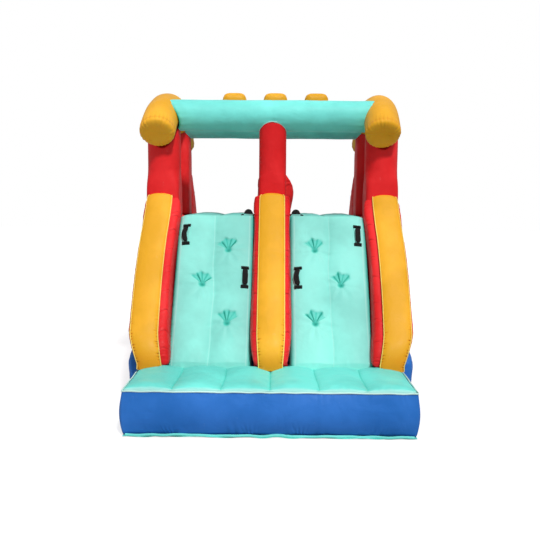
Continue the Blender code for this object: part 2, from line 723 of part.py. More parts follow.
def build_platform():
    """Deck cushion, and the red guards at both sides of the deck."""
    deck = deck_cushion("platform_deck", cyan_fabric())
    low = PLATFORM_HEIGHT - PLATFORM_THICKNESS - OVERRUN
    high = PLATFORM_HEIGHT - SKIN
    start = LANE_CREST_Y + EDGE_ROUND
    end = PLATFORM_END_Y - EDGE_ROUND
    hollow = [(start, low), (end, low), (end, high), (start, high)]
    reach = CORE_HALF_WIDTH - 2 * SKIN
    cut(deck, place("platform_deck_cavity", prism_x(hollow, -reach, reach), None))

    front = FRONT_POST_Y + SIDE_POST_RADIUS + GAP
    back = REAR_POST_Y - SIDE_POST_RADIUS - GAP
    for name, side in (("left_guard", -1), ("right_guard", 1)):
        x = side * SIDE_WALL_X
        low = BASE_HEIGHT + GAP
        outline = [
            (x - WALL_HALF_THICKNESS, low),
            (x + WALL_HALF_THICKNESS, low),
            (x + WALL_HALF_THICKNESS, PLATFORM_HEIGHT),
            (x + GUARD_HALF_THICKNESS, PLATFORM_HEIGHT),
            (x + GUARD_HALF_THICKNESS, GUARD_HEIGHT),
            (x - GUARD_HALF_THICKNESS, GUARD_HEIGHT),
            (x - GUARD_HALF_THICKNESS, PLATFORM_HEIGHT),
            (x - WALL_HALF_THICKNESS, PLATFORM_HEIGHT),
        ]
        guard = place(name, prism_y(outline, front, back), red_fabric())
        hollow = hollow_in(outline, outline[:2])
        cut(guard, place(name + "_cavity", prism_y(hollow, front + SKIN, back - SKIN), None))


def on_arch(angle):
    """A point on a bowed tube's centre line, by its angle from the crown."""
    middle = (FRONT_POST_Y + REAR_POST_Y) / 2
    centre_height = ARCH_CROWN_HEIGHT - ARCH_BOW_RADIUS
    y = middle + ARCH_BOW_RADIUS * math.sin(angle)
    z = centre_height + ARCH_BOW_RADIUS * math.cos(angle)
    return y, z


def arch_tube(name, x, radius, sides, bulge, fabric):
    """A bowed tube of a radius, with domed ends that stand out by a bulge."""
    steps = even(-ARCH_HALF_ANGLE, ARCH_HALF_ANGLE, ARCH_STEPS)
    rings = [(angle, 0, 1) for angle in steps]
    domes = [(math.sin(a), math.cos(a)) for a in (math.radians(40), math.radians(70))]
    rings = [(steps[0], -bulge * s, c) for s, c in domes[::-1]] + rings
    rings += [(steps[-1], bulge * s, c) for s, c in domes]
    loops = []
    for angle, out, share in rings:
        y, z = on_arch(angle)
        forward = Vector((0, math.cos(angle), -math.sin(angle)))
        outward = Vector((0, math.sin(angle), math.cos(angle)))
        centre = Vector((x, y, z)) + forward * out
        ring = [centre + Vector((a * share, 0, 0)) + outward * b * share for a, b in circle(radius, sides)]
        loops.append(ring)
    return place(name, stack(loops), fabric)


def bar(name, y, radius, sides, low, high, fabric):
    ring = [(y + a, CROSSBAR_HEIGHT + b) for a, b in circle(radius, sides)]
    return place(name, prism_x(ring, low, high), fabric)


def build_frame():
    """Six posts, the two bowed tubes over the side posts, the two crossbars and the three blocks."""
    arch_spaces = []
    for name, side in (("left", -1), ("right", 1)):
        x = side * SIDE_POST_X
        arch = arch_tube(name + "_arch", x, ARCH_RADIUS, TUBE_SIDES, ARCH_CAP_BULGE, yellow_fabric())
        bore = ARCH_RADIUS - SKIN
        cavity = arch_tube(name + "_arch_cavity", x, bore, CAVITY_SIDES, ARCH_CAP_BULGE - SKIN, None)
        port_ends = sorted((x, x - side * (ARCH_RADIUS + OVERRUN)))
        port = bar(name + "_arch_port", FRONT_POST_Y, AIR_PORT_RADIUS, CAVITY_SIDES, *port_ends, None)
        cut(arch, cavity, port)
        space = ARCH_RADIUS + GAP
        arch_spaces.append(arch_tube(name + "_arch_space", x, space, TUBE_SIDES, ARCH_CAP_BULGE, None))

    bar_spaces = {}
    for name, y in (("front", FRONT_POST_Y), ("rear", REAR_POST_Y)):
        end = SIDE_POST_X
        reach = SIDE_POST_X + OVERRUN
        crossbar = bar(name + "_crossbar", y, CROSSBAR_RADIUS, TUBE_SIDES, -end, end, cyan_fabric())
        cavity = bar(name + "_crossbar_cavity", y, CROSSBAR_RADIUS - SKIN, CAVITY_SIDES, -reach, reach, None)
        cut(crossbar, *arch_spaces, cavity)
        space = CROSSBAR_RADIUS + GAP
        bar_spaces[name] = bar(name + "_crossbar_space", y, space, TUBE_SIDES, -reach, reach, None)

    low = PLATFORM_HEIGHT + GAP
    side_top = CROSSBAR_HEIGHT - ARCH_RADIUS / 2
    for row, y in (("front", FRONT_POST_Y), ("rear", REAR_POST_Y)):
        for column, x in (("left", -SIDE_POST_X), ("centre", 0), ("right", SIDE_POST_X)):
            name = row + "_" + column + "_post"
            radius = SIDE_POST_RADIUS if x else CENTRE_POST_RADIUS
            high = side_top if x else CROSSBAR_HEIGHT
            post = upright(name, radius, x, y, low, high, TUBE_SIDES, red_fabric())
            bore = radius - SKIN
            cavity = upright(name + "_cavity", bore, x, y, low - OVERRUN, high + OVERRUN, CAVITY_SIDES, None)
            spaces = arch_spaces if x else []
            cut(post, *spaces, bar_spaces[row], cavity)

    blocks = (("left_block", -BLOCK_SPACING), ("centre_block", 0), ("right_block", BLOCK_SPACING))
    for name, spacing in blocks:
        x = spacing + BLOCK_SHIFT
        outline = [
            (x - BLOCK_HALF_WIDTH, CROSSBAR_HEIGHT),
            (x + BLOCK_HALF_WIDTH, CROSSBAR_HEIGHT),
            (x + BLOCK_HALF_WIDTH, BLOCK_TOP_HEIGHT),
            (x - BLOCK_HALF_WIDTH, BLOCK_TOP_HEIGHT),
        ]
        ends = (REAR_POST_Y - BLOCK_HALF_DEPTH, REAR_POST_Y + BLOCK_HALF_DEPTH)
        block = place(name, prism_y(outline, *ends), yellow_fabric())
        round_edges(block, BLOCK_ROUND, 3)
        cut(block, bar_spaces["rear"])


def build_slides():
    """Two slide lanes, and three red walls with yellow strips beside them."""
    slide_lane("left_slide_lane", -1, cyan_fabric())
    slide_lane("right_slide_lane", 1, cyan_fabric())
    for name, x in (("left", -SIDE_WALL_X), ("centre", 0), ("right", SIDE_WALL_X)):
        top_height = SLIDE_STRIP_TOP_HEIGHT if x else DIVIDER_STRIP_TOP_HEIGHT
        half = WALL_HALF_THICKNESS if x else SLIDE_DIVIDER_HALF_THICKNESS
        post_x = math.copysign(SIDE_POST_X, x) if x else 0
        cutter = post_cutter(name + "_rear_post_space", post_x, REAR_POST_Y)
        face = slide_strip_line(STRIP_THICKNESS + GAP, top_height)
        if x:
            front = REAR_POST_Y - SIDE_POST_RADIUS
            foot = [face.pop(), (front, BASE_HEIGHT + GAP)]
            rest = foot + [(front, PLATFORM_HEIGHT), (face[0][0], PLATFORM_HEIGHT)]
        else:
            start, low = slide_core_outline()[3], slide_core_outline()[2]
            end_y = face.pop()[0]
            lift = 2 * GAP / DOWN_SLIDE.x
            rise = (low[0] - end_y) * -DOWN_SLIDE.y / DOWN_SLIDE.x
            foot = [(end_y, low[1] + rise + lift), (start[0], start[1] + lift)]
            rest = foot + [(start[0], PLATFORM_HEIGHT + GAP), (face[0][0], PLATFORM_HEIGHT + GAP)]
        wall = divider(name + "_slide_wall", face + rest, foot, x, half, red_fabric())
        cut(wall, cutter)

        def line(depth, height=top_height):
            return slide_strip_line(depth, height)

        strip(name + "_slide_strip", x, line, cutter)


def build_pool():
    """Three blue rims round a cyan floor cushion."""
    start = SLIDE_END_Y + GAP
    inner = POOL_OUTER_X - POOL_RIM_WIDTH
    back = POOL_END_Y - POOL_RIM_WIDTH
    sides = (("left_pool_rim", -POOL_OUTER_X, -inner), ("right_pool_rim", inner, POOL_OUTER_X))
    for name, low, high in sides:
        foot = [(start, SEAT), (back - GAP, SEAT)]
        outline = foot + [(back - GAP, POOL_RIM_HEIGHT), (start, POOL_RIM_HEIGHT)]
        chamber(name, outline, foot, low, high, blue_fabric())
    foot = [(back, SEAT), (POOL_END_Y, SEAT)]
    outline = foot + [(POOL_END_Y, POOL_RIM_HEIGHT), (back, POOL_RIM_HEIGHT)]
    rim = chamber("back_pool_rim", outline, foot, -POOL_OUTER_X, POOL_OUTER_X, blue_fabric())
    floor = [(start, SEAT), (back - GAP, SEAT), (back - GAP, SEAT + POOL_FLOOR_THICKNESS)]
    floor.append((start, SEAT + POOL_FLOOR_THICKNESS))
    pad = place("pool_floor", prism_x(floor, -inner + GAP, inner - GAP), cyan_fabric())
    round_edges(pad, POOL_FLOOR_THICKNESS / 4, 2)

    height = SHEET_THICKNESS + EDGE_ROUND + SLEEVE_RADIUS
    ring = [(SLEEVE_X + a, height + b) for a, b in circle(SLEEVE_RADIUS, TUBE_SIDES)]
    bore = [(SLEEVE_X + a, height + b) for a, b in circle(SLEEVE_RADIUS - SKIN, TUBE_SIDES)]
    end = POOL_END_Y + SLEEVE_LENGTH
    sleeve = place("blower_sleeve", prism_y(ring, POOL_END_Y + GAP, end), blue_fabric())
    inlet = place("blower_sleeve_bore", prism_y(bore, POOL_END_Y - SKIN - GAP, end + OVERRUN), None)
    cut(sleeve, inlet)
    cut(rim, inlet)


def build_stake_loops():
    """Flat webbing loops at the edge of the ground sheet, for the ground stakes."""
    for name, side in (("left_stake_loop", -1), ("right_stake_loop", 1)):
        near = SHEET_BASE_HALF + GAP
        low = STAKE_LOOP_Y
        high = STAKE_LOOP_Y + STAKE_LOOP_LENGTH
        outer = [(near, low), (near + STAKE_LOOP_REACH, low), (near + STAKE_LOOP_REACH, high), (near, high)]
        hole = inset(outer, STAKE_WEBBING_WIDTH)
        outline = [(side * x, y) for x, y in outer]
        eye = [(side * x, y) for x, y in hole]
        loop = place(name, prism_z(outline, 0, STAKE_LOOP_THICKNESS), black_webbing())
        cut(loop, place(name + "_eye", prism_z(eye, -OVERRUN, STAKE_LOOP_THICKNESS + OVERRUN), None))


def handle_frame(origin, along, out):
    """Axes of a handle: first along the webbing, then across it, then out from the fabric."""
    across = out.cross(along)
    frame = Matrix((along, across, out)).transposed().to_4x4()
    return Matrix.Translation(origin) @ frame


def handle(name, frame, length, cushion_space):
    """A backing patch with two sewn tabs, and the webbing grip that hinges between the tabs."""
    half = length / 2
    end = half + PATCH_TAB
    tab = half + GAP
    slope = PATCH_TAB * TAB_SLOPE_SHARE
    patch = [
        (-end, -PATCH_DEPTH),
        (end, -PATCH_DEPTH),
        (end, PATCH_PLATE),
        (end - slope, PATCH_TAB_HEIGHT),
        (tab, PATCH_TAB_HEIGHT),
        (tab, PATCH_PLATE),
        (-tab, PATCH_PLATE),
        (-tab, PATCH_TAB_HEIGHT),
        (-end + slope, PATCH_TAB_HEIGHT),
        (-end, PATCH_PLATE),
    ]
    reach = GRIP_WIDTH / 2 + PATCH_MARGIN
    shape = stack([[(a, s, n) for a, n in patch] for s in (-reach, reach)])
    backing = place(name + "_patch", shape, black_webbing(), frame)
    cut(backing, cushion_space)

    outer = []
    inner = []
    for share in even(0, 1, GRIP_STEPS):
        rise = GRIP_RISE * math.sin(math.pi * share) ** GRIP_POWER
        a = -half + length * share
        outer.append((a, rise + GRIP_THICKNESS / 2))
        inner.append((a, rise - GRIP_THICKNESS / 2))
    outline = outer + inner[::-1]
    shape = stack([[(a, s, n) for a, n in outline] for s in (-GRIP_WIDTH / 2, GRIP_WIDTH / 2)])
    hinge = frame @ Matrix.Translation((0, 0, GRIP_AXIS_HEIGHT))
    place(name + "_grip", shape, black_webbing(), hinge)


def lane_handle(name, x, up, lane_space):
    """A handle that runs up a lane, tilted to the lane's crown at its place."""
    reach = GRIP_WIDTH / 2 + PATCH_MARGIN
    right = on_lane(x + reach, up, lane_crown(x + reach, up))
    left = on_lane(x - reach, up, lane_crown(x - reach, up))
    along = Vector((0, UP_LANE.x, UP_LANE.y))
    across = (right - left).normalized()
    handle(name, handle_frame((left + right) / 2, along, across.cross(along)), GRIP_LENGTH, lane_space)


def build_lanes_and_handles():
    deck_space = deck_cushion("platform_deck_space", None, GAP)
    for name, side in (("left", -1), ("right", 1)):
        lane = climb_lane(name + "_climb_lane", side, cyan_fabric())
        cut(lane, lane_cavity(name + "_climb_lane_cavity", side))
        space = climb_lane(name + "_climb_lane_space", side, None, GAP)
        lane_handle(name + "_outer_handle", side * OUTER_HANDLE_X, OUTER_HANDLE_UP, space)
        lane_handle(name + "_inner_handle", side * INNER_HANDLE_X, INNER_HANDLE_UP, space)
        height = PLATFORM_HEIGHT + PLATFORM_CROWN + GAP
        origin = Vector((side * CREST_HANDLE_X, CREST_HANDLE_Y, height))
        frame = handle_frame(origin, Vector((1, 0, 0)), Vector((0, 0, 1)))
        handle(name + "_crest_handle", frame, CREST_GRIP_LENGTH, deck_space)


build_ground_sheet()
build_landing_mat()
build_core()
build_base_sides()
build_climb_walls()
build_platform()
build_frame()
build_slides()
build_pool()
build_stake_loops()
build_lanes_and_handles()
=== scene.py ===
"""Looks of the inflatable double water slide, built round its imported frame."""

import math

import bpy
import numpy as np
from mathutils import Matrix, Vector


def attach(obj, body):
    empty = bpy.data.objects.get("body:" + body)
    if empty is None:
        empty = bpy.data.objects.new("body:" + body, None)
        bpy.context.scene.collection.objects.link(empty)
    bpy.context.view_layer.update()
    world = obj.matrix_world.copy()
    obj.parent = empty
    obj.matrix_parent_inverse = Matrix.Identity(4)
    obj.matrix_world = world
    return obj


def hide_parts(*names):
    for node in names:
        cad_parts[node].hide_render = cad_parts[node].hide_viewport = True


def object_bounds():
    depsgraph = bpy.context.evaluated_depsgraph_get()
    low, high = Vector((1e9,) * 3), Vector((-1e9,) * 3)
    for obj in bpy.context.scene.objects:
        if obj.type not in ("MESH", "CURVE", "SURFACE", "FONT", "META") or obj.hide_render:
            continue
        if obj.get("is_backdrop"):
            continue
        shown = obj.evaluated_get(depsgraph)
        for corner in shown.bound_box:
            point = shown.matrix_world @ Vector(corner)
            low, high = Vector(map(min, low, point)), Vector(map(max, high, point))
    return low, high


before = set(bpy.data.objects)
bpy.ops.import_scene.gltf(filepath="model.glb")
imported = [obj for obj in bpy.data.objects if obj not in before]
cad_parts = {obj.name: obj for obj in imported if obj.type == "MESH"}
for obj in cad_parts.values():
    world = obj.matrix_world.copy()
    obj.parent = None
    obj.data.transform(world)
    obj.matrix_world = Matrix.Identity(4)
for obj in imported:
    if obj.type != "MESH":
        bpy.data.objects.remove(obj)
size_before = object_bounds()

# Camera: a standing adult's view of the slide, a little right of its middle and looking slightly down.
# Its lens, place and turn were fitted to the corners of the mat, the lanes, the walls and the posts.
bpy.ops.object.camera_add()
camera = bpy.context.object
camera.name = "camera"
camera.data.sensor_width = 36
camera.data.lens = 47.14
camera.data.clip_end = 200
eye, pan, pitch, roll = (0.021, -7.125, 1.624), 0.332, -5.776, 0.478
camera.matrix_world = (
    Matrix.Translation(eye) @ Matrix.Rotation(math.radians(pan), 4, "Z")
    @ Matrix.Rotation(math.radians(90 + pitch), 4, "X") @ Matrix.Rotation(math.radians(roll), 4, "Z")
)
bpy.context.scene.camera = camera


# Studio: a white background, a broad soft sky that is brighter overhead, and one large soft lamp from the upper
# right front. The floor is matt white and keeps only the slide's own soft shadow.
def plug(tree, socket, value):
    """Links a socket to another one, or gives it a colour of three numbers or a plain number."""
    if isinstance(value, bpy.types.NodeSocket):
        tree.links.new(value, socket)
    else:
        socket.default_value = (*value, 1) if isinstance(value, tuple) else value


def node(tree, kind, **settings):
    """A new shader node. Settings with a capital are its inputs, the others its own properties."""
    made = tree.nodes.new("ShaderNode" + kind)
    for name, value in settings.items():
        if name[0].isupper():
            plug(tree, made.inputs[name.replace("_", " ")], value)
        else:
            setattr(made, name, value)
    return made


def computed(tree, operation, first, second):
    made = node(tree, "Math", operation=operation)
    plug(tree, made.inputs[0], first)
    plug(tree, made.inputs[1], second)
    return made.outputs[0]


def surfaced(tree, **settings):
    """Sets the finish of a material."""
    for name, value in settings.items():
        plug(tree, tree.nodes["Principled BSDF"].inputs[name.replace("_", " ")], value)


def new_material(name):
    material = bpy.data.materials.new(name)
    material.use_nodes = True
    return material, material.node_tree


bpy.context.scene.view_settings.view_transform = "Standard"
world = bpy.data.worlds.new("studio")
bpy.context.scene.world = world
world.use_nodes = True
sky = world.node_tree
upward = node(sky, "SeparateXYZ", Vector=node(sky, "TexCoord").outputs["Generated"]).outputs["Z"]
glow = node(sky, "MapRange", Value=upward, From_Min=-0.1, From_Max=1, To_Min=0.30, To_Max=0.62).outputs["Result"]
seen = node(sky, "Mix", Factor=node(sky, "LightPath").outputs["Is Camera Ray"])
plug(sky, seen.inputs[2], glow)
plug(sky, seen.inputs[3], 1)
plug(sky, sky.nodes["Background"].inputs["Color"], (1, 1, 1))
plug(sky, sky.nodes["Background"].inputs["Strength"], seen.outputs[0])

bpy.ops.object.light_add(type="SUN", rotation=(math.radians(40), 0, math.radians(20)))
lamp = bpy.context.object
lamp.name = "key_lamp"
lamp.data.energy = 2.25
lamp.data.angle = math.radians(5)
lamp.data.color = (1, 0.985, 0.96)

bpy.ops.object.select_all(action="DESELECT")
bpy.ops.mesh.primitive_plane_add(size=60)
floor = bpy.context.object
floor.name = "studio_floor"
paint, tree = new_material("floor_white")
surfaced(tree, Base_Color=(0.4, 0.4, 0.4), Roughness=1, Specular_IOR_Level=0, Emission_Color=(1, 1, 1),
         Emission_Strength=computed(tree, "MULTIPLY", node(tree, "LightPath").outputs["Is Camera Ray"], 0.72))
floor.data.materials.append(paint)
floor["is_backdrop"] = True

# Ground sheet: one layer of cyan coated fabric that the whole slide is sewn to, laid on the ground.
# It ends in a stuffed hem under the landing mat, and waves a little there where the air lifts the mat.
BODY = "slide"
FRONT = -2.443
FULL_TURN = 2 * math.pi
# Each fabric's second colour is the painted shade mixed into its folds, grooves and gaps.
CYAN, CYAN_PAINTED_SHADE = (0.165, 0.78, 0.705), (0.006, 0.28, 0.215)
MAT_HALF, MAT_DEPTH = 1.008, 0.64
SHEET_HALF, SHEET_END = 1.065, 4.65
HEM_RADIUS = 0.0105


def mixed(tree, factor, first, second):
    mix = node(tree, "Mix", data_type="RGBA")
    for socket, value in ((0, factor), (6, first), (7, second)):
        plug(tree, mix.inputs[socket], value)
    return mix.outputs[2]


def noise(tree, where, scale, detail=3, rough=0.5, distortion=0.0):
    return node(tree, "TexNoise", Vector=where, Scale=scale, Detail=detail, Roughness=rough,
                Distortion=distortion).outputs["Fac"]


def ranged(tree, value, low, high, to_low, to_high):
    """value from low..high, mapped to to_low..to_high and clamped."""
    return node(tree, "MapRange", interpolation_type="SMOOTHSTEP", Value=value, From_Min=low, From_Max=high,
                To_Min=to_low, To_Max=to_high).outputs["Result"]


def raised(tree, height, distance, strength, under=None):
    bump = node(tree, "Bump", Height=height, Distance=distance, Strength=strength)
    if under is not None:
        plug(tree, bump.inputs["Normal"], under)
    return bump.outputs["Normal"]


def coated(name, colour, painted_shade, roughness=0.42):
    """Coated oxford cloth: fine weave, slack creases, painted fold light and shade and pale bound edges from
    attributes, scuffs and dust.
    """
    material, tree = new_material(name)
    where = node(tree, "TexCoord").outputs["Object"]
    # The seam attribute is the share of painted shade: at seams, in folds, grooves and tuft pits, and where faces turn
    # from the light.
    seam = node(tree, "Attribute", attribute_name="seam").outputs["Fac"]
    bound = node(tree, "Attribute", attribute_name="pale").outputs["Fac"]
    # Broad tone: the dye and the coating are never quite even.
    pale, deep = tuple(min(1, c * 1.07 + 0.012) for c in colour), tuple(c * 0.86 for c in colour)
    tone = mixed(tree, ranged(tree, noise(tree, where, 1.7, 4, 0.55), 0.36, 0.66, 0, 1), deep, pale)
    # Painted light and shade from the seam attribute: light caught between the folds is painted as a deeper, more
    # saturated tone, and the deepest folds are painted dark.
    painted_fold_light = tuple(min(c, 1.25 * math.sqrt(c * s)) for c, s in zip(colour, painted_shade))
    tone = mixed(tree, ranged(tree, seam, 0.05, 0.5, 0, 0.85), tone, painted_fold_light)
    tone = mixed(tree, ranged(tree, seam, 0.4, 1, 0, 0.9), tone, painted_shade)
    # Bound edges and stitched lines, where the coating is stretched, are paler. Scuffs and dried splashes too.
    tone = mixed(tree, ranged(tree, bound, 0.1, 1, 0, 0.8), tone, tuple(0.45 + 0.55 * c for c in colour))
    scuff = ranged(tree, noise(tree, where, 23, 5, 0.62, 0.4), 0.64, 0.78, 0, 0.05)
    tone = mixed(tree, scuff, tone, (0.85, 0.87, 0.86))
    # Weave: three crossed sets of threads.
    threads = [node(tree, "TexWave", bands_direction=axis, Vector=where, Scale=190, Distortion=0.4).outputs["Fac"]
               for axis in "XYZ"]
    weave = computed(tree, "ADD", computed(tree, "ADD", threads[0], threads[1]), threads[2])
    tone = mixed(tree, ranged(tree, weave, 0.2, 2.8, 0, 0.05), tone, deep)
    # Bumps: slack undulation, sharp little creases, then the weave.
    crease = node(tree, "TexNoise", noise_type="RIDGED_MULTIFRACTAL", Vector=where, Scale=9, Detail=3, Distortion=0.6)
    normal = raised(tree, noise(tree, where, 5.5, 3, 0.5, 0.7), 0.03, 0.32)
    normal = raised(tree, crease.outputs["Fac"], 0.004, 0.30, normal)
    normal = raised(tree, weave, 0.0003, 0.35, normal)
    worn = ranged(tree, noise(tree, where, 7, 5, 0.6), 0.3, 0.7, roughness - 0.06, roughness + 0.12)
    surfaced(tree, Base_Color=tone, Normal=normal, Roughness=worn, Specular_IOR_Level=0.18, Coat_Weight=0.02,
             Coat_Roughness=0.25)
    return material


def xyz(*parts):
    """Points from their coordinates, each an array or one number."""
    return np.stack(np.broadcast_arrays(*parts), axis=1)


def bell(distance, reach, power=2):
    return np.exp(-(np.abs(distance / reach) ** power))


def points_of(mesh, kind="co"):
    flat = np.empty(len(mesh.vertices) * 3)
    mesh.vertices.foreach_get(kind, flat)
    return flat.reshape(-1, 3)


def put(mesh, points):
    mesh.vertices.foreach_set("co", np.ascontiguousarray(points).ravel())
    mesh.update()


def mark_painted_shade_and_pale(piece, amount, name="seam"):
    """The share of painted shade at a seam, fold or hollow, or of a pale bound edge, at each point. A pad's underside
    takes its top's.
    """
    layer = piece.data.attributes.get(name) or piece.data.attributes.new(name, "FLOAT", "POINT")
    layer.data.foreach_set("value", np.clip(np.resize(amount, len(piece.data.vertices)), 0, 1))


def picked(piece):
    bpy.ops.object.select_all(action="DESELECT")
    piece.select_set(True)
    bpy.context.view_layer.objects.active = piece


def applied(piece, kind, **settings):
    """Adds a modifier with these settings and applies it."""
    picked(piece)
    modifier = piece.modifiers.new(kind.lower(), kind)
    for name, value in settings.items():
        setattr(modifier, name, value)
    bpy.ops.object.modifier_apply(modifier=modifier.name)


def edited(piece, *steps):
    """Runs edit mode steps on all of a piece."""
    picked(piece)
    bpy.ops.object.mode_set(mode="EDIT")
    bpy.ops.mesh.select_all(action="SELECT")
    for step in steps:
        step()
    bpy.ops.object.mode_set(mode="OBJECT")


def merged():
    bpy.ops.mesh.remove_doubles(threshold=0.00002)
    bpy.ops.mesh.select_all(action="SELECT")


def closed():
    bpy.ops.mesh.select_all(action="DESELECT")
    bpy.ops.mesh.select_mode(type="EDGE")
    bpy.ops.mesh.select_non_manifold(extend=False, use_wire=False, use_multi_face=False, use_verts=False)
    bpy.ops.mesh.fill_holes(sides=0)
    bpy.ops.mesh.select_all(action="SELECT")


def outward():
    bpy.ops.mesh.normals_make_consistent(inside=False)


def sewn(piece, sharpest, *steps):
    """Runs edit mode steps, then smooths every edge up to the sharpest angle, in degrees."""
    edited(piece, *steps)
    bpy.ops.object.shade_smooth_by_angle(angle=math.radians(sharpest))


def woven(name, across, along, place):
    """A grid primitive whose points place(across, along) puts in space. Its UV map is in metres of fabric."""
    bpy.ops.object.select_all(action="DESELECT")
    wide, long = len(across) - 1, len(along) - 1
    bpy.ops.mesh.primitive_grid_add(x_subdivisions=wide, y_subdivisions=long, size=2)
    piece = bpy.context.object
    piece.name = name
    mesh = piece.data
    share = (points_of(mesh) + 1) / 2
    a = np.asarray(across, dtype=float)[np.rint(share[:, 0] * wide).astype(int)]
    b = np.asarray(along, dtype=float)[np.rint(share[:, 1] * long).astype(int)]
    put(mesh, place(a, b))
    corner = np.empty(len(mesh.loops), dtype=int)
    mesh.loops.foreach_get("vertex_index", corner)
    mesh.uv_layers[0].data.foreach_set("uv", xyz(a[corner], b[corner]).ravel())
    return piece, a, b


def cord_tube(name, line, radius, count, is_ring=False):
    """A stuffed welt or hem. line(b) gives its centre, a sideways and an upward direction there."""
    def place(a, b):
        centre, side, up = line(b)
        turn = a * FULL_TURN
        return centre + side * (np.cos(turn) * radius)[:, None] + up * (np.sin(turn) * radius)[:, None]

    piece, _, _ = woven(name, np.linspace(0, 1, 9), np.linspace(0, 1, count), place)
    sewn(piece, 60, *((merged, outward) if is_ring else (merged, closed, outward)))
    return piece


def dressed(piece, material, slot, *nodes, fill=None, body=BODY):
    """Finishes a piece: its fabric, the body it moves with, its slot, which is not used, and the CAD nodes it stands
    for.
    """
    piece.data.materials.clear()
    piece.data.materials.append(material)
    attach(piece, body)
    if nodes:
        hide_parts(*nodes)
    return piece


def sheet_place(a, b):
    half = np.where(b < MAT_DEPTH, 1.004, SHEET_HALF)
    edge = np.minimum(np.minimum(SHEET_HALF - np.abs(a), b + 0.02), SHEET_END - b)
    wave = np.exp(-np.clip(edge, 0, 1) / 0.03)
    z = 0.0035 + 0.0035 * wave * (1 + np.sin(a * 23 + 1.3 * np.sin(a * 7)) * np.cos(b * 19))
    y = FRONT + b + 0.007 * wave * np.sin(a * 17 + 2 * np.sin(a * 5.1)) * (b < 0.3)
    return xyz(a / SHEET_HALF * half, y, z)


def hem_line(b):
    x = (b * 2 - 1) * 0.985
    lift = 0.0025 * np.sin(x * 15 + 2 * np.sin(x * 4)) + 0.0015 * np.sin(x * 37)
    y = FRONT - 0.008 + 0.006 * np.sin(x * 11 + 1) + 0.003 * np.sin(x * 29)
    return xyz(x, y, 0.0145 + lift), xyz(0, 1, 0 * x), xyz(0, 0, 1 + 0 * x)


cyan = coated("cyan_coated_fabric", CYAN, CYAN_PAINTED_SHADE)
hem = dressed(cord_tube("ground_sheet_hem", hem_line, HEM_RADIUS, 260), cyan, "cyan_fabric")
ground, _, _ = woven("ground_sheet_fabric", np.linspace(-SHEET_HALF, SHEET_HALF, 131),
                     np.linspace(-0.018, SHEET_END, 161), sheet_place)
applied(ground, "SOLIDIFY", thickness=0.0016, offset=1)
dressed(ground, cyan, "cyan_fabric", "ground_sheet")

# Landing mat: a blue tray of coated fabric with a bulging wall, sewn to the ground sheet and pleated where it
# meets it, and a cyan quilted top with six channels. A folded pale strip is stitched over the seam between them.
# The second colour is the blue fabric's painted shade for its folds and seams.
BLUE, BLUE_PAINTED_SHADE = (0.023, 0.178, 0.625), (0.008, 0.045, 0.20)
MAT_SEAM, MAT_CORNER, WELT_RADIUS = 0.313, 0.014, 0.0062
TOP_HALF, TOP_FRONT, TOP_BACK = MAT_HALF - 0.010, FRONT + 0.012, FRONT + MAT_DEPTH - 0.008


def ripples(points, wave, seed):
    """Slow uneven undulation from -1 to 1: sines in seeded directions, about a wave long."""
    rng = np.random.default_rng(seed)
    total = np.zeros(len(points))
    for _ in range(6):
        way = rng.normal(size=3)
        way /= np.linalg.norm(way)
        turn = rng.uniform(0, 6.3)
        total += np.sin(points @ way * (FULL_TURN / (wave * rng.uniform(0.7, 1.5))) + turn)
    return total / 4


def pleats(run, away, wave, reach, seed):
    """Gathers that leave a seam: 1 on a crest, -1 in a fold, and dying out away from it."""
    a, b, c, d = np.random.default_rng(seed).uniform(0, 6.3, 4)
    turn = run * FULL_TURN / wave
    drift = np.sin(turn / 3.7 + a) + 0.8 * np.sin(turn / 8.3 + b)
    strength = np.clip(0.45 + 0.3 * np.sin(turn / 5.1 + c) + 0.25 * np.sin(turn / 2.3 + d), 0.05, 1)
    return strength * np.sin(turn + 1.4 * drift) * np.exp(-away / (reach * (0.45 + 0.8 * strength)))


def rolled(near, reach, power=2.0):
    """Height share of a padded edge: 0 at the seam, 1 from reach on, round in between."""
    return (1 - (1 - np.clip(near / reach, 0, 1)) ** power) ** (1 / power)


def channels(x, low, width, count, power=0.6):
    """Share of the way over channels of one width, their crown there, and the distance to the nearest groove."""
    share = np.clip((x - low) / width, 0, count)
    return share, np.abs(np.sin(math.pi * share)) ** power, np.abs((share + 0.5) % 1 - 0.5) * width


def cushion(name, across, along, top, under):
    """A closed pad: its top from one grid, its underside from the same grid, sewn together round the rim."""
    piece, a, b = woven(name, across, along, top)
    applied(piece, "SOLIDIFY", thickness=0.01, offset=-1)
    points = points_of(piece.data)
    points[len(a) : 2 * len(a)] = under(a, b)
    put(piece.data, points)
    sewn(piece, 50, outward)
    return piece, a, b


def mat_line(run, inset):
    """The mat's outline in plan, by the share of the way round: a rectangle with rounded corners."""
    within = inset + MAT_CORNER
    half, front, back = MAT_HALF - within, FRONT + 0.004 + within, FRONT + MAT_DEPTH - within
    path = []
    for cx, cy, start in ((half, front, -90), (half, back, 0), (-half, back, 90), (-half, front, 180)):
        for angle in np.radians(start + 15 * np.arange(7)):
            path.append((cx + MAT_CORNER * math.cos(angle), cy + MAT_CORNER * math.sin(angle)))
    path = np.array(path + path[:1])
    length = np.concatenate([[0], np.cumsum(np.hypot(*np.diff(path, axis=0).T))])
    at = run % 1.0 * length[-1]
    return np.interp(at, length, path[:, 0]), np.interp(at, length, path[:, 1]), length[-1]


def mat_rim(run, inset=0.0):
    """Points on the mat's outline, the outward direction there, and the outline's length."""
    x, y, length = mat_line(run, inset)
    inner_x, inner_y, _ = mat_line(run, 0.01)
    out = xyz(x - inner_x, y - inner_y, 0)
    return x, y, out / np.maximum(np.linalg.norm(out, axis=1), 1e-9)[:, None], length


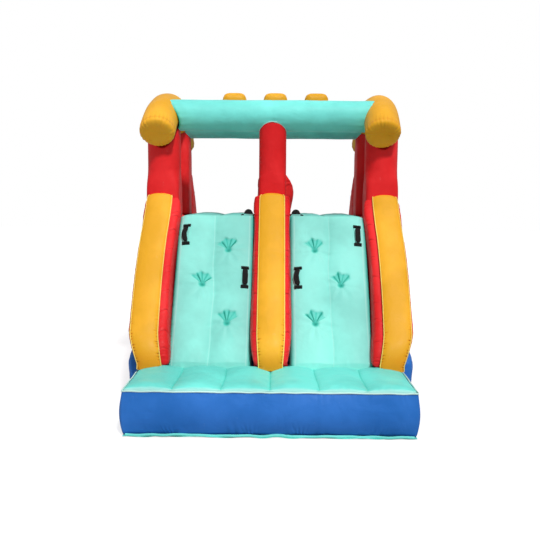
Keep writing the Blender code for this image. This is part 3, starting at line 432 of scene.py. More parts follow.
def tray_place(a, b):
    """a is the share of the way round, b the share of the wall's height."""
    x, y, out, length = mat_rim(a)
    z = 0.0128 + b * (MAT_SEAM - 0.014)
    run = a * length
    bulge = 0.046 * np.sin(math.pi * b**0.8) ** 0.9 - 0.014 * (1 - b) ** 1.5
    bulge += 0.0055 * pleats(run, z, 0.085, 0.06, 3) + 0.003 * pleats(run, MAT_SEAM - z, 0.05, 0.035, 4)
    bulge += 0.003 * ripples(xyz(x, y, z), 0.5, 5) * np.sin(math.pi * b)
    # Short folds stand up from the bottom seam where the fabric was taken in.
    for middle, size in ((-0.683, 1.0), (-0.139, 0.8), (0.213, 0.8), (0.74, 0.5)):
        fan = (x - middle) / (0.6 + z * 5)
        near = bell(fan, 0.06) * bell(z - 0.03, 0.045) * (y < FRONT + 0.05)
        bulge += 0.0050 * size * near * np.cos(fan * FULL_TURN / 0.03)
    # Corners are sewn edges: the fabric can't bulge there. The rear face is pressed flat.
    taut = 0.25 + 0.75 * (1 - np.exp(-np.hypot(np.abs(x) - MAT_HALF, y - FRONT) / 0.05))
    bulge = bulge * np.where(out[:, 1] > 0.3, 0.0, taut)
    return xyz(x + out[:, 0] * bulge, y + out[:, 1] * bulge, z)


def mat_top_height(a, b):
    share, hump, groove = channels(a, -TOP_HALF, TOP_HALF / 3, 6, 0.62)
    fullness = 1 + 0.07 * np.sin(np.floor(np.clip(share, 0, 5.999)) * 2.4 + 1)
    near = np.minimum(b - TOP_FRONT, TOP_BACK - b)
    height = 0.037 * hump * fullness * rolled(near, 0.10, 2.2)
    # Folds that run out of the grooves, and gathers where each channel closes at its ends.
    height += 0.0016 * pleats(b, groove, 0.062, 0.045, 11) * rolled(near, 0.06)
    height += 0.0045 * pleats(a, near, 0.075, 0.055, 12) * rolled(near, 0.02) * hump
    height += 0.002 * ripples(xyz(a, b, 0), 0.3, 13) * hump
    return height, groove, near


def mat_top_place(a, b):
    height, _, near = mat_top_height(a, b)
    depth = (b - TOP_FRONT) / (TOP_BACK - TOP_FRONT)
    share = np.abs(a) / TOP_HALF
    x = a + 0.007 * np.sin(depth * 5 + a * 3) * rolled(near, 0.1) * np.sin(math.pi * share)
    x *= 1 - 0.006 * np.sin(math.pi * depth) ** 0.8 * share**8
    return xyz(x, b, MAT_SEAM + 0.012 + height)


def welt_line(b):
    x, y, out, _ = mat_rim(b, -0.001)
    wobble = 0.0015 * np.sin(b * 160 + 2 * np.sin(b * 31))
    return xyz(x, y, MAT_SEAM + 0.001 + wobble), out, xyz(0, 0, 1 + 0 * b)


blue = coated("blue_coated_fabric", BLUE, BLUE_PAINTED_SHADE, 0.38)
tray, a, b = woven("landing_mat_tray", np.linspace(0, 1, 861), np.linspace(0, 1, 34), tray_place)
# Painted shade along the bottom and top seams.
mark_painted_shade_and_pale(tray, np.exp(-b * 0.3 / 0.012) + np.exp(-(1 - b) * 0.3 / 0.006))
sewn(tray, 50, merged, closed, outward)
dressed(tray, blue, "blue_fabric", "mat_tray", fill=0.95)

pad, a, b = cushion("landing_mat_top", np.linspace(-TOP_HALF, TOP_HALF, 217), np.linspace(TOP_FRONT, TOP_BACK, 72),
                    mat_top_place, lambda a, b: xyz(a * 0.995, b, MAT_SEAM + 0.002))
_, groove, near = mat_top_height(a, b)
# Painted shade in the grooves between the channels.
mark_painted_shade_and_pale(pad, 0.30 * np.exp(-groove / 0.006))
mark_painted_shade_and_pale(pad, 0.8 * bell(near, 0.010), "pale")
dressed(pad, cyan, "cyan_fabric", "mat_top", fill=0.9)

# Pale welt fabric: the landing mat's welt, and the centre posts' welts, whose paleness there is a painted highlight.
pale_welt_and_painted_highlight = coated("pale_welt_and_painted_highlight_fabric", (0.62, 0.93, 0.88), (0.16, 0.5, 0.5))
dressed(cord_tube("landing_mat_welt", welt_line, WELT_RADIUS, 421, is_ring=True), pale_welt_and_painted_highlight, "cyan_fabric")

# Base chambers: long blue panels beside the lanes, sewn to the ground sheet and kept full of air. A step at their
# front end, raised to a soft shoulder, carries the nose of each climbing wall.
SIDES = ((-1, "left"), (1, "right"))
SEAT = 0.0126
BASE_INNER, BASE_OUTER, BASE_TOP = 0.803, 1.095, 0.45
AIR = {"quality": 3, "mass": 0.3, "tension_stiffness": 25, "compression_stiffness": 25, "shear_stiffness": 8,
       "bending_stiffness": 0.4, "use_pressure": True, "uniform_pressure_force": 4}


def seam_frame(pair, outline):
    """Distance of points (n, 2) to a closed outline, and how far along it the nearest place lies."""
    start = np.array(outline, dtype=float)
    best, run, so_far = np.full(len(pair), 1e9), np.zeros(len(pair)), 0.0
    for p, q in zip(start, np.roll(start, -1, axis=0)):
        way = q - p
        length = np.linalg.norm(way)
        if length < 1e-6:
            continue
        share = np.clip((pair - p) @ way / length**2, 0, 1)
        gap = np.linalg.norm(pair - p - share[:, None] * way, axis=1)
        run = np.where(gap < best, so_far + share * length, run)
        best = np.minimum(best, gap)
        so_far += length
    return best, run


def blown_up(piece, cell, most):
    """Air in a cut chamber: remeshed, puffed by a cloth simulation without gravity, and held to its seams."""
    applied(piece, "REMESH", mode="VOXEL", voxel_size=cell)
    applied(piece, "SMOOTH", factor=0.5, iterations=3)
    before = points_of(piece.data)
    cloth = piece.modifiers.new("air", "CLOTH")
    for name, value in AIR.items():
        setattr(cloth.settings, name, value)
    cloth.settings.effector_weights.gravity = 0
    cloth.point_cache.frame_start = 1
    cloth.point_cache.frame_end = 14
    for step in range(1, 13):
        bpy.context.scene.frame_set(step)
    bpy.ops.object.modifier_apply(modifier=cloth.name)
    bpy.context.scene.frame_set(1)
    moved = points_of(piece.data) - before
    length = np.maximum(np.linalg.norm(moved, axis=1), 1e-9)
    put(piece.data, before + moved * (np.minimum(length, most) / length)[:, None])
    applied(piece, "SUBSURF", levels=1, render_levels=1)
    bpy.ops.object.shade_smooth()


def panel(name, outline, low, high, axis, rounding, cell, most):
    """An inflated panel: an outline of fabric raised along an axis, rounded at its edges and blown up."""
    bpy.ops.object.select_all(action="DESELECT")
    bpy.ops.mesh.primitive_circle_add(vertices=len(outline), radius=1, fill_type="NGON")
    piece = bpy.context.object
    piece.name = name
    first, second = np.array(outline, dtype=float).T
    put(piece.data, xyz(low, first, second) if axis == "X" else xyz(first, low, second))
    way = (high - low, 0, 0) if axis == "X" else (0, high - low, 0)

    def raise_up():
        bpy.ops.mesh.extrude_region_move(TRANSFORM_OT_translate={"value": way})
        bpy.ops.mesh.select_all(action="SELECT")

    def round_off():
        bpy.ops.mesh.bevel(offset=rounding, segments=2, affect="EDGES")
        bpy.ops.mesh.select_all(action="SELECT")

    edited(piece, raise_up, merged, outward, round_off, outward)
    blown_up(piece, cell, most)
    return piece


def gathered(piece, outline, low, high, axis, size, seed, wave=0.06, reach=0.05):
    """Pleats and seam shade along the edges where a panel's faces, at low and high, are sewn to its band."""
    points = points_of(piece.data)
    across, pair = (points[:, 0], points[:, 1:]) if axis == "X" else (points[:, 1], points[:, [0, 2]])
    away, run = seam_frame(pair, outline)
    near = np.hypot(away, np.maximum((high - low) / 2 - np.abs(across - (low + high) / 2), 0))
    folds = pleats(run + 0.5 * near, near, wave, reach, seed)
    lift = size * folds + 0.35 * size * ripples(points, 0.35, seed + 50)
    put(piece.data, points + points_of(piece.data, "normal") * lift[:, None])
    # Painted shade along the seams and in the pleats' folds.
    mark_painted_shade_and_pale(piece, np.maximum(np.exp(-near / 0.006) * 0.4, 0.55 * np.clip(-1.6 * folds, 0, 1) ** 1.5))


def at(pairs):
    """Outline points given from the mat's front seam, in the frame."""
    return [(FRONT + y, z) for y, z in pairs]


base_line = at([(0.645, SEAT + 0.002), (0.645, 0.36), (0.70, 0.362), (0.80, BASE_TOP - 0.004),
                (3.695, BASE_TOP - 0.004), (3.695, SEAT + 0.002)])
for side, name in SIDES:
    low, high = sorted((side * (BASE_INNER + 0.004), side * (BASE_OUTER - 0.006)))
    piece = panel(name + "_base_chamber", base_line, low, high, "X", 0.035, 0.028, 0.006)
    points = points_of(piece.data)
    x, y, z = points.T
    shoulder = np.clip((np.abs(x) - 0.90) / 0.12, 0, 1) * np.clip((z - 0.15) / 0.2, 0, 1) * bell(y - FRONT - 0.70, 0.16)
    put(piece.data, points + shoulder[:, None] * np.array([side * 0.016, 0, 0.055]))
    gathered(piece, base_line, low, high, "X", 0.0035, 21 + side)
    dressed(piece, blue, "blue_fabric", name + "_base", fill=1)

# Inner chambers: the blue cores under the lanes, the deck and the slides. They are welded from the same coated
# fabric and tied to the ground sheet, and hardly show.
cores = (
    ("climb", [(0.645, SEAT + 0.002), (1.405, SEAT + 0.002), (1.405, 1.23), (0.645, 0.12)]),
    ("platform", [(1.415, SEAT + 0.002), (2.445, SEAT + 0.002), (2.445, 1.325), (1.415, 1.325)]),
    ("slide", [(2.455, SEAT + 0.002), (3.695, SEAT + 0.002), (3.695, 0.115), (2.455, 1.27)]),
)
for name, outline in cores:
    piece = panel(name + "_core_chamber", at(outline), -0.793, 0.793, "X", 0.03, 0.055, 0.004)
    dressed(piece, blue, "blue_fabric", name + "_core", fill=1)

# Climbing walls: tall red panels beside and between the lanes. The yellow strip is the sewn top edge of each:
# a crowned tube of fabric that starts under the nose and runs up to the post, gathered round the nose.
# The second colour of each pair is the fabric's painted shade for its folds, gathers and seams.
RED, RED_PAINTED_SHADE = (0.86, 0.014, 0.018), (0.20, 0.002, 0.003)
YELLOW, YELLOW_PAINTED_SHADE = (0.93, 0.455, 0.020), (0.40, 0.115, 0.004)
STRIP_HALF, STRIP_OFFSET, WALL_HALF, SIDE_WALL_X = 0.105, 0.019, 0.143, 0.945
DECK = 1.462
FRONT_POST, REAR_POST = FRONT + 1.56, FRONT + 2.30
POST_RADIUS, CENTRE_POST_RADIUS = 0.142, 0.118
CLIMB_FOOT, CLIMB_TOP, NOSE_RADIUS = (FRONT + 0.5834, 0.5742), (FRONT + 1.42, 1.685), 0.39
ROW = (("left", -SIDE_WALL_X), ("centre", 0.0), ("right", SIDE_WALL_X))


def nose_line(depth, end_y, foot, top, radius, floor_z):
    """Outer line of a climbing strip moved in by a depth: up round the nose and on to end_y, in the frame."""
    way = np.array([top[0] - foot[0], top[1] - foot[1]])
    way /= np.linalg.norm(way)
    inward = np.array([way[1], -way[0]])
    centre = np.array(foot) + inward * radius
    r = radius - depth
    last = math.atan2(-inward[1], -inward[0])
    line = [(centre[0] - r, floor_z)]
    for step in range(13):
        angle = math.pi + (last - math.pi) * step / 12
        height = centre[1] + r * math.sin(angle)
        if height > floor_z + 0.01:
            line.append((centre[0] + r * math.cos(angle), height))
    start = np.array(top) + inward * depth
    line.append((end_y, start[1] + (end_y - start[0]) * way[1] / way[0]))
    return np.array(line)


def climb_line(depth, end_y=FRONT + 1.42):
    """The climbing strips' line, which rolls over a little where it meets the post."""
    line = nose_line(depth, FRONT + 1.40, CLIMB_FOOT, CLIMB_TOP, NOSE_RADIUS, 0.338)
    return np.concatenate([line, [[end_y, line[-1][1] + 0.45 * (end_y - FRONT - 1.40)]]])


def bowed(points):
    """Side walls bow outwards halfway up; every nose narrows, and the side ones lean in, where the mat holds them."""
    x, y, z = points.T
    side = np.sign(x) * (np.abs(x) > 0.7)
    middle = side * SIDE_WALL_X
    low = np.clip((0.60 - z) / 0.22, 0, 1) ** 1.2 * np.clip((FRONT + 0.95 - y) / 0.3, 0, 1)
    bow = np.sin(math.pi * np.clip((z - 0.5) / 1.15, 0, 1)) * np.clip((FRONT_POST - 0.15 - y) / 0.25, 0, 1)
    return xyz(middle + (x - middle) * (1 - 0.15 * low) + side * (0.018 * bow - 0.048 * low), y, z)


def crowned_strip(name, middle, line_of, end_y, samples, seed, shaped=lambda points: points):
    """A strip on a wall's edge, ending square at the post, and the pale welts along both of its seams."""
    outer = line_of(0, end_y)
    length = np.concatenate([[0], np.cumsum(np.hypot(*np.diff(outer, axis=0).T))])
    full = length[-1]
    way = 1 if outer[-1, 0] > outer[0, 0] else -1

    def on_line(run):
        return np.interp(run, length, outer[:, 0]), np.interp(run, length, outer[:, 1])

    def place(w, t, sink):
        """Points across (w) and along (t) the strip, sunk below its line, and the way up from it."""
        run = t * full
        y, z = on_line(run)
        ahead, behind = on_line(np.minimum(run + 0.02, full)), on_line(np.maximum(run - 0.02, 0))
        ty, tz = ahead[0] - behind[0], ahead[1] - behind[1]
        size = np.maximum(np.hypot(ty, tz), 1e-9)
        ny, nz = way * tz / size, -way * ty / size
        outer_side = 0.5 + 0.5 * np.sign(w * middle)
        half = STRIP_HALF * (1 - (0.07 + 0.14 * outer_side) * np.exp(-(full - run) / 0.022))
        return shaped(xyz(middle + w * half, y + ny * sink, z + nz * sink)), xyz(0, -ny, -nz)

    def gathers(w, run):
        """How low on the strip a point lies, and the short sharp folds that its two seams draw in."""
        reach = (1 - np.abs(w)) * STRIP_HALF
        low = np.maximum(np.exp(-np.maximum(run - 0.26, 0) / 0.16), 0.4 * np.exp(-(full - run) / 0.10))
        shift = seed + 2.1 * (w < 0)
        phase = run * FULL_TURN / 0.024 + 1.5 * np.sin(run * 19 + shift) + 0.8 * np.sin(run * 47 + 2 * shift)
        long = 0.020 * (0.8 + 0.35 * np.sin(run * 61 + shift) + 0.3 * np.sin(run * 137 + 2 * shift))
        fold = np.clip((np.sin(phase) - 0.25) / 0.6, 0, 1) * np.clip(1.6 - 1.2 * reach / long, 0, 1)
        return reach, low, fold

    def top(w, t):
        reach, low, fold = gathers(w, t * full)
        sink = 0.027 * (1 - (1 - np.abs(w) ** 2.3) ** 0.62) + 0.010 * (1 - rolled((1 - t) * full, 0.03))
        sink += (0.0006 + 0.0050 * low) * fold * np.clip(reach / 0.006, 0.3, 1)
        sink -= 0.0016 * ripples(xyz(w * STRIP_HALF, t * full, 0), 0.22, seed + 3)
        return place(w, t, np.maximum(sink, -0.006))[0]

    def under(w, t):
        return place(w * 0.96, t, 0.0292)[0]

    piece, w, t = cushion(name, np.linspace(-1, 1, 37), np.linspace(0, 1, samples), top, under)
    _, low, fold = gathers(w, t * full)
    # Painted shade in the gathers' folds, and over the foot of the nose, which turns down away from the light.
    mark_painted_shade_and_pale(piece, np.maximum(fold * (0.06 + 0.94 * low), 0.50 * bell(t * full, 0.15)))
    for edge, side in (("first", -1), ("second", 1)):
        def welt_run(b):
            centre, up = place(side * 1.005, b * 0.998, 0.0215)
            return centre, xyz(1, 0, 0 * b), up
        dressed(cord_tube(f"{name}_{edge}_welt", welt_run, 0.0042, 260), pale_yellow, "yellow_fabric")
    return piece


def shouldered(piece, outline, middle, half, amount, shoulder):
    """Air pushes a wall's sides out past its seams, most of all just under the strip's upper end."""
    points = points_of(piece.data)
    across = points[:, 0] - middle
    away, _ = seam_frame(points[:, 1:], outline)
    lift = amount * rolled(away, 0.06) + shoulder * bell(points[:, 2] - 1.53, 0.09) * rolled(away, 0.05)
    lift *= np.clip((np.abs(across) - half + 0.045) / 0.04, 0, 1) * bell(away, 0.35)
    points[:, 0] += np.sign(across) * lift * np.where(across * middle > 0, 0.5, 1)
    put(piece.data, points)


red = coated("red_coated_fabric", RED, RED_PAINTED_SHADE, 0.44)
yellow = coated("yellow_coated_fabric", YELLOW, YELLOW_PAINTED_SHADE, 0.40)
pale_yellow = coated("pale_yellow_welt_fabric", (0.97, 0.72, 0.16), (0.45, 0.2, 0.01), 0.4)
inner_line = [tuple(p) for p in nose_line(0.034, FRONT + 1.45, CLIMB_FOOT, CLIMB_TOP, NOSE_RADIUS, 0.350)]
for name, middle in ROW:
    if middle:
        back = FRONT_POST + POST_RADIUS - 0.004
        outline = inner_line + [(inner_line[-1][0], DECK - 0.004), (back, DECK - 0.004), (back, BASE_TOP + 0.004),
                                (FRONT + 0.80, BASE_TOP + 0.004), (FRONT + 0.70, 0.369)]
    else:
        outline = inner_line + [(FRONT_POST, 1.60), (FRONT_POST, DECK + 0.004)] + at(
            [(1.41, DECK + 0.004), (1.41, 1.27), (0.6403, 0.155), (0.6403, 0.369)])
    side = np.sign(middle)
    low, high = middle - WALL_HALF, middle + WALL_HALF
    piece = panel(name + "_climb_wall_panel", outline, low - 0.001 + 0.003 * (side < 0),
                  high + 0.001 - 0.003 * (side > 0), "X", 0.022, 0.0175, 0.007)
    shouldered(piece, outline, middle, WALL_HALF, 0.010, 0.008)
    put(piece.data, bowed(points_of(piece.data)))
    gathered(piece, outline, low, high, "X", 0.0035, 31 + int(middle * 3), 0.036, 0.05)
    dressed(piece, red, "red_fabric", name + "_climb_wall", fill=1)
    # The strip is sewn near the outer side of a side wall, so more red shows on the inner side.
    strip = crowned_strip(name + "_climb_strip_tube", middle + STRIP_OFFSET * side, climb_line,
                          FRONT + (1.42 if middle else 1.442), 420, 41 + int(middle * 3), bowed)
    dressed(strip, yellow, "yellow_fabric", name + "_climb_strip", fill=0.9)

# Climbing lanes: cyan cushions of two channels each. Three footholds a lane are tufts, where the fabric is drawn
# through to the chamber behind and fans out in folds.
LANE_FOOT, LANE_CREST = np.array([FRONT + 0.6403, 0.355]), np.array([FRONT + 1.41, 1.475])
LANE_LENGTH = float(np.linalg.norm(LANE_CREST - LANE_FOOT))
UP = (LANE_CREST - LANE_FOOT) / LANE_LENGTH
LANE_X, LANE_HALF, LANE_DEPTH = 0.4725, 0.3245, 0.13
HOLDS = ((1.057, 0.358), (0.735, 0.569), (0.390, 0.350))


def sloped(start, way, off):
    """Places points, given across, along and off a slope, in the frame."""
    def place(x, along, out):
        return xyz(x, start[0] + along * way[0] + out * off[0], start[1] + along * way[1] + out * off[1])
    return place


def lane_channels(x):
    return channels(np.abs(x), LANE_X - LANE_HALF, LANE_HALF, 2)


def lane_crown(x, up, seed):
    share, hump, groove = lane_channels(x)
    near = np.minimum(up + 0.03, LANE_LENGTH - up)
    edge = LANE_HALF * np.minimum(share, 2 - share)
    height = 0.034 * hump * rolled(near, 0.035) - 0.036 * (1 - rolled(edge, 0.045, 2.4))
    outer = rolled(np.clip(LANE_X + LANE_HALF - np.abs(x), 0, 1), 0.09)
    height -= 0.045 * (1 - outer) * np.exp(-(LANE_LENGTH - up) / 0.09)
    height += 0.0018 * pleats(up, groove, 0.07, 0.05, seed) * rolled(near, 0.04)
    height += 0.004 * pleats(x, near, 0.07, 0.05, seed + 1) * rolled(near, 0.03) * hump
    height += 0.0022 * ripples(xyz(x, up, 0), 0.28, seed + 2) * hump
    # Painted shade in the centre groove, and along both edges where the lane drops into the shaded gap beside the
    # walls.
    depth = np.maximum(np.exp(-groove / 0.0035) * 0.55 * (edge > 0.1), 0.5 * bell(edge, 0.028, 3))
    for number, (hold_up, hold_x) in enumerate(HOLDS):
        # The fabric is drawn down to a stitched point at the tuft's foot, and its folds fan upwards from there.
        dx, du = np.abs(x) - hold_x, up - hold_up + 0.052
        away = np.hypot(dx, du)
        turn = np.arctan2(dx, du) + 0.10 * np.sin(number * 2.0 + seed)
        rim = 0.118 + 0.008 * np.cos(turn * 9 + seed)
        fan = np.clip((away - 0.006) / 0.02, 0, 1) * np.clip((rim - away) / 0.02, 0, 1)
        fan *= np.clip((1.02 - np.abs(turn)) / 0.25, 0, 1)
        crease = np.clip(np.cos(turn * 15 + number * 1.3 + seed), 0, 1) ** 1.5
        crease *= 0.65 + 0.35 * np.sin(turn * 5 + seed + number)
        pit = bell(away, 0.024)
        height -= 0.026 * pit + fan * (0.008 + 0.011 * crease)
        height += 0.0030 * bell(away - 0.10, 0.06) * np.cos(turn * 8 + number) * (1 - fan)
        # Painted shade in the tuft's pit and along its folds.
        depth = np.maximum(depth, np.maximum(0.9 * pit, fan * (0.38 + 0.62 * crease)))
    return height, depth


def fine(low, high, count, spots, spread, extra):
    """Even stations, with more of them round some spots."""
    stations = list(np.linspace(low, high, count))
    for spot in spots:
        stations += list(np.linspace(spot - spread, spot + spread, extra))
    stations = np.unique(np.round([s for s in stations if low <= s <= high], 4))
    keep = [stations[0]]
    for s in stations[1:]:
        if s - keep[-1] > 0.0026:
            keep.append(s)
    keep[-1] = stations[-1]
    return np.array(keep)


on_lane = sloped(LANE_FOOT, UP, (-UP[1], UP[0]))
lane_x = fine(LANE_X - LANE_HALF, LANE_X + LANE_HALF, 66, (0.354, 0.569), 0.07, 44)
lane_up = fine(0, LANE_LENGTH, 136, [hold[0] for hold in HOLDS], 0.08, 54)
# The lanes' fabric is a paler copy of the cyan: painted sheen, the sky's glare off their slope.
lane_cyan_painted_sheen = coated("lane_fabric_painted_sheen", (0.27, 0.785, 0.705), CYAN_PAINTED_SHADE)
for side, name in SIDES:
    seed = 60 + 5 * side

    def lane_top(a, b):
        wander = (0.008 * np.sin(b * 5 + side) + 0.004 * np.sin(b * 13)) * np.sin(math.pi * lane_channels(a)[0] / 2)
        return on_lane(a + wander, b, lane_crown(a, b, seed)[0])

    def lane_under(a, b):
        return on_lane(a, b - (LANE_DEPTH - 0.004) * UP[1] / UP[0], -LANE_DEPTH + 0.004)

    piece, a, b = cushion(name + "_climb_lane_pad", np.sort(side * lane_x), lane_up, lane_top, lane_under)
    mark_painted_shade_and_pale(piece, lane_crown(a, b, seed)[1])
    share = lane_channels(a)[0]
    edge = np.minimum(np.abs(share - 0.13), np.abs(share - 1.87)) * LANE_HALF
    seam = np.abs(share - 1.012) * LANE_HALF
    mark_painted_shade_and_pale(piece, np.maximum(0.6 * bell(edge, 0.006), 0.5 * bell(seam, 0.004)), "pale")
    dressed(piece, lane_cyan_painted_sheen, "cyan_fabric", name + "_climb_lane", fill=0.9)

# Deck: the cyan cushion at the top of the lanes, with a soft front edge that dips in small waves. It lies on the
# chamber below, and the handles' backing pulls it flat.
DECK_FRONT, DECK_BACK, DECK_HALF = FRONT + 1.4103, FRONT + 2.45, 0.797


def deck_height(a, b):
    share, hump, groove = lane_channels(a)
    near = np.minimum(b - DECK_FRONT, DECK_BACK - b)
    height = 0.022 * hump * rolled(near, 0.05) + 0.006 * (rolled(near, 0.03) - 1)
    height -= 0.040 * (1 - rolled(np.clip(DECK_HALF - np.abs(a), 0, 1), 0.09)) * np.exp(-near / 0.12)
    height += 0.005 * pleats(a, near, 0.10, 0.08, 71) * (share > 0) * (share < 2)
    height += 0.0015 * ripples(xyz(a, b, 0), 0.3, 72)
    held = bell(np.abs(a) - 0.206, 0.075, 4) * bell(b - DECK_FRONT - 0.06, 0.045, 4)
    return height + held * (0.011 - height), groove


def deck_place(a, b):
    return xyz(a, b, DECK - 0.001 + np.minimum(deck_height(a, b)[0], 0.022))


piece, a, b = cushion("platform_deck_pad", np.linspace(-0.798, 0.798, 145), np.linspace(DECK_FRONT, DECK_BACK, 72),
                      deck_place, lambda a, b: xyz(a, b, DECK - 0.126))
# Painted shade in the grooves between the channels.
mark_painted_shade_and_pale(piece, np.exp(-deck_height(a, b)[1] / 0.008) * 0.8)
dressed(piece, cyan, "cyan_fabric", "platform_deck", fill=0.9)

# Guards: narrow red panels between the posts at both ends of the deck, wide where they stand on the base.
# Each is one inflated chamber, sewn to the posts in front of and behind it.
guard_front, guard_back = FRONT_POST + POST_RADIUS + 0.003, REAR_POST - POST_RADIUS - 0.003
for side, name in SIDES:
    middle = side * SIDE_WALL_X
    outline = [(middle - 0.137, BASE_TOP + 0.004), (middle + 0.137, BASE_TOP + 0.004), (middle + 0.137, DECK - 0.004),
               (middle + 0.055, DECK - 0.004), (middle + 0.055, 1.925), (middle - 0.055, 1.925),
               (middle - 0.055, DECK - 0.004), (middle - 0.137, DECK - 0.004)]
    piece = panel(name + "_guard_panel", outline, guard_front, guard_back, "Y", 0.02, 0.023, 0.005)
    gathered(piece, outline, guard_front, guard_back, "Y", 0.003, 81 + side)
    dressed(piece, red, "red_fabric", name + "_guard", fill=1)

# Posts: six upright red tubes on the deck and the walls, each sewn round its foot and into the tube above it.
# A thin pale welt covers the seam between a centre post and its crossbar; its paleness is a painted highlight along
# that seam.
BAR_Z, BAR_RADIUS = 2.336, 0.134
ARCH_RADIUS, BOW_RADIUS, ARCH_TOP = 0.148, 0.85, 2.415
ARCH_MIDDLE = (FRONT_POST + REAR_POST) / 2
ARCH_CENTRE = ARCH_TOP - BOW_RADIUS


def under_arch(x, y, side_x):
    """Height of the underside of a bowed tube over a point."""
    across = np.clip(1 - ((x - side_x) / ARCH_RADIUS) ** 2, 0, 1)
    inner = BOW_RADIUS - ARCH_RADIUS * np.sqrt(across)
    return ARCH_CENTRE + np.sqrt(np.maximum(inner**2 - (y - ARCH_MIDDLE) ** 2, 0.01))


def post(name, x, y, radius, foot, seed, over, square_to):
    """A tube from the deck up to where it is sewn into the tube over it: square up to the strip, round above it."""
    is_centre = radius < 0.13
    end_power = 2.7 if is_centre else 2.0

    def squared(turn, power):
        return radius / (np.abs(np.cos(turn)) ** power + np.abs(np.sin(turn)) ** power) ** (1 / power)

    def end(turn):
        px, py = x + squared(turn, end_power) * np.cos(turn), y + squared(turn, end_power) * np.sin(turn)
        return px, py, over(px, py)

    def place(a, b):
        turn = a * FULL_TURN
        px, py, top = end(turn)
        z = foot + b * (top - foot)
        low, high = z - foot, top - z
        power = 2 + 5 * bell(np.maximum(z - square_to, 0), 0.11) + (end_power - 2) * np.exp(-high / 0.12)
        r = squared(turn, power) + 0.003 * pleats(turn * radius, low, 0.055, 0.075, seed)
        r += 0.0018 * pleats(turn * radius, high, 0.05, 0.07, seed + 1) + 0.001 * ripples(xyz(px, py, z), 0.3, seed + 2)
        r -= 0.005 * np.exp(-low / 0.012) + 0.003 * np.exp(-high / 0.012)
        return xyz(x + r * np.cos(turn), y + r * np.sin(turn), z)

    def seam_ring(b):
        turn = b * FULL_TURN
        px, py, top = end(turn)
        return xyz(px, py, top - 0.003), xyz(np.cos(turn), np.sin(turn), 0), xyz(0, 0, 1 + 0 * b)

    piece, a, b = woven(name, np.linspace(0, 1, 97), np.linspace(0, 1, 90), place)
    height = over(np.array([x]), np.array([y]))[0] - foot
    # Painted shade round the foot seam and the top seam.
    mark_painted_shade_and_pale(piece, 0.8 * (np.exp(-b * height / 0.010) + np.exp(-(1 - b) * height / 0.010)))
    sewn(piece, 60, merged, closed, outward)
    # The centre posts' pale welt is a painted highlight along the seam with the crossbar.
    if is_centre:
        dressed(cord_tube(name + "_welt", seam_ring, 0.0036, 121, is_ring=True), pale_welt_and_painted_highlight, "cyan_fabric")
    return piece


for row, y in (("front", FRONT_POST), ("rear", REAR_POST)):
    for column, x in ROW:
        def over(px, py):
            if x:
                return under_arch(px, py, x) + 0.004
            return BAR_Z - np.sqrt(np.clip((BAR_RADIUS - 0.002) ** 2 - (py - y) ** 2, 0, 1)) + 0.002
        strip_top = 1.665 if row == "front" else (2.00 if x else 1.85)
        piece = post(f"{row}_{column}_post_tube", x, y, POST_RADIUS if x else CENTRE_POST_RADIUS, DECK + 0.002,
                     90 + int(x * 3), over, strip_top)
        dressed(piece, red, "red_fabric", f"{row}_{column}_post", fill=1)

# Crossbars: two cyan tubes from arch to arch, gathered where the centre post is sewn into them and at their ends,
# which stop at the bowed tubes' skins.


def bar_place_for(y, seed):
    def place(a, b):
        turn = a * FULL_TURN
        py, pz = y + BAR_RADIUS * np.cos(turn), BAR_Z + BAR_RADIUS * np.sin(turn)
        gap = np.hypot(py - ARCH_MIDDLE, pz - ARCH_CENTRE) - BOW_RADIUS
        half = SIDE_WALL_X - np.sqrt(np.maximum((ARCH_RADIUS - 0.004) ** 2 - gap**2, 0))
        x = (b * 2 - 1) * half
        run, away = turn * BAR_RADIUS, np.abs(x)
        near = half - away
        r = BAR_RADIUS + 0.0045 * pleats(run, near, 0.05, 0.09, seed) + 0.0035 * pleats(run, away, 0.06, 0.06, seed + 1)
        r += 0.0025 * ripples(xyz(x, py, pz), 0.3, seed + 2)
        r -= 0.0035 * np.exp(-away / 0.02) + 0.006 * np.exp(-near / 0.012)
        return xyz(x, y + r * np.cos(turn), BAR_Z + r * np.sin(turn))
    return place


# The crossbars' fabric is a brighter copy of the cyan: painted light.
bar_cyan_painted_light = coated("crossbar_fabric_painted_light", (0.215, 0.90, 0.83), CYAN_PAINTED_SHADE)
for row, y in (("front", FRONT_POST), ("rear", REAR_POST)):
    piece, a, b = woven(row + "_crossbar_tube", np.linspace(0, 1, 97), np.linspace(0, 1, 190),
                        bar_place_for(y, 110 + int(y * 5)))
    # Painted shade at both ends, where the bars meet the arches.
    mark_painted_shade_and_pale(piece, 0.8 * np.exp(-(0.5 - np.abs(b - 0.5)) * 2 * 0.81 / 0.010))
    sewn(piece, 60, merged, closed, outward)
    dressed(piece, bar_cyan_painted_light, "cyan_fabric", row + "_crossbar", fill=1)

# Arches: two bowed yellow tubes over the side posts. Each end is closed by a gathered cap, its folds drawn to
# a small button of stitched fabric.
HALF_TURN = math.radians(45)
CAP_START, CAP_REACH, CAP_FOLDS = 0.82, 0.052, 26


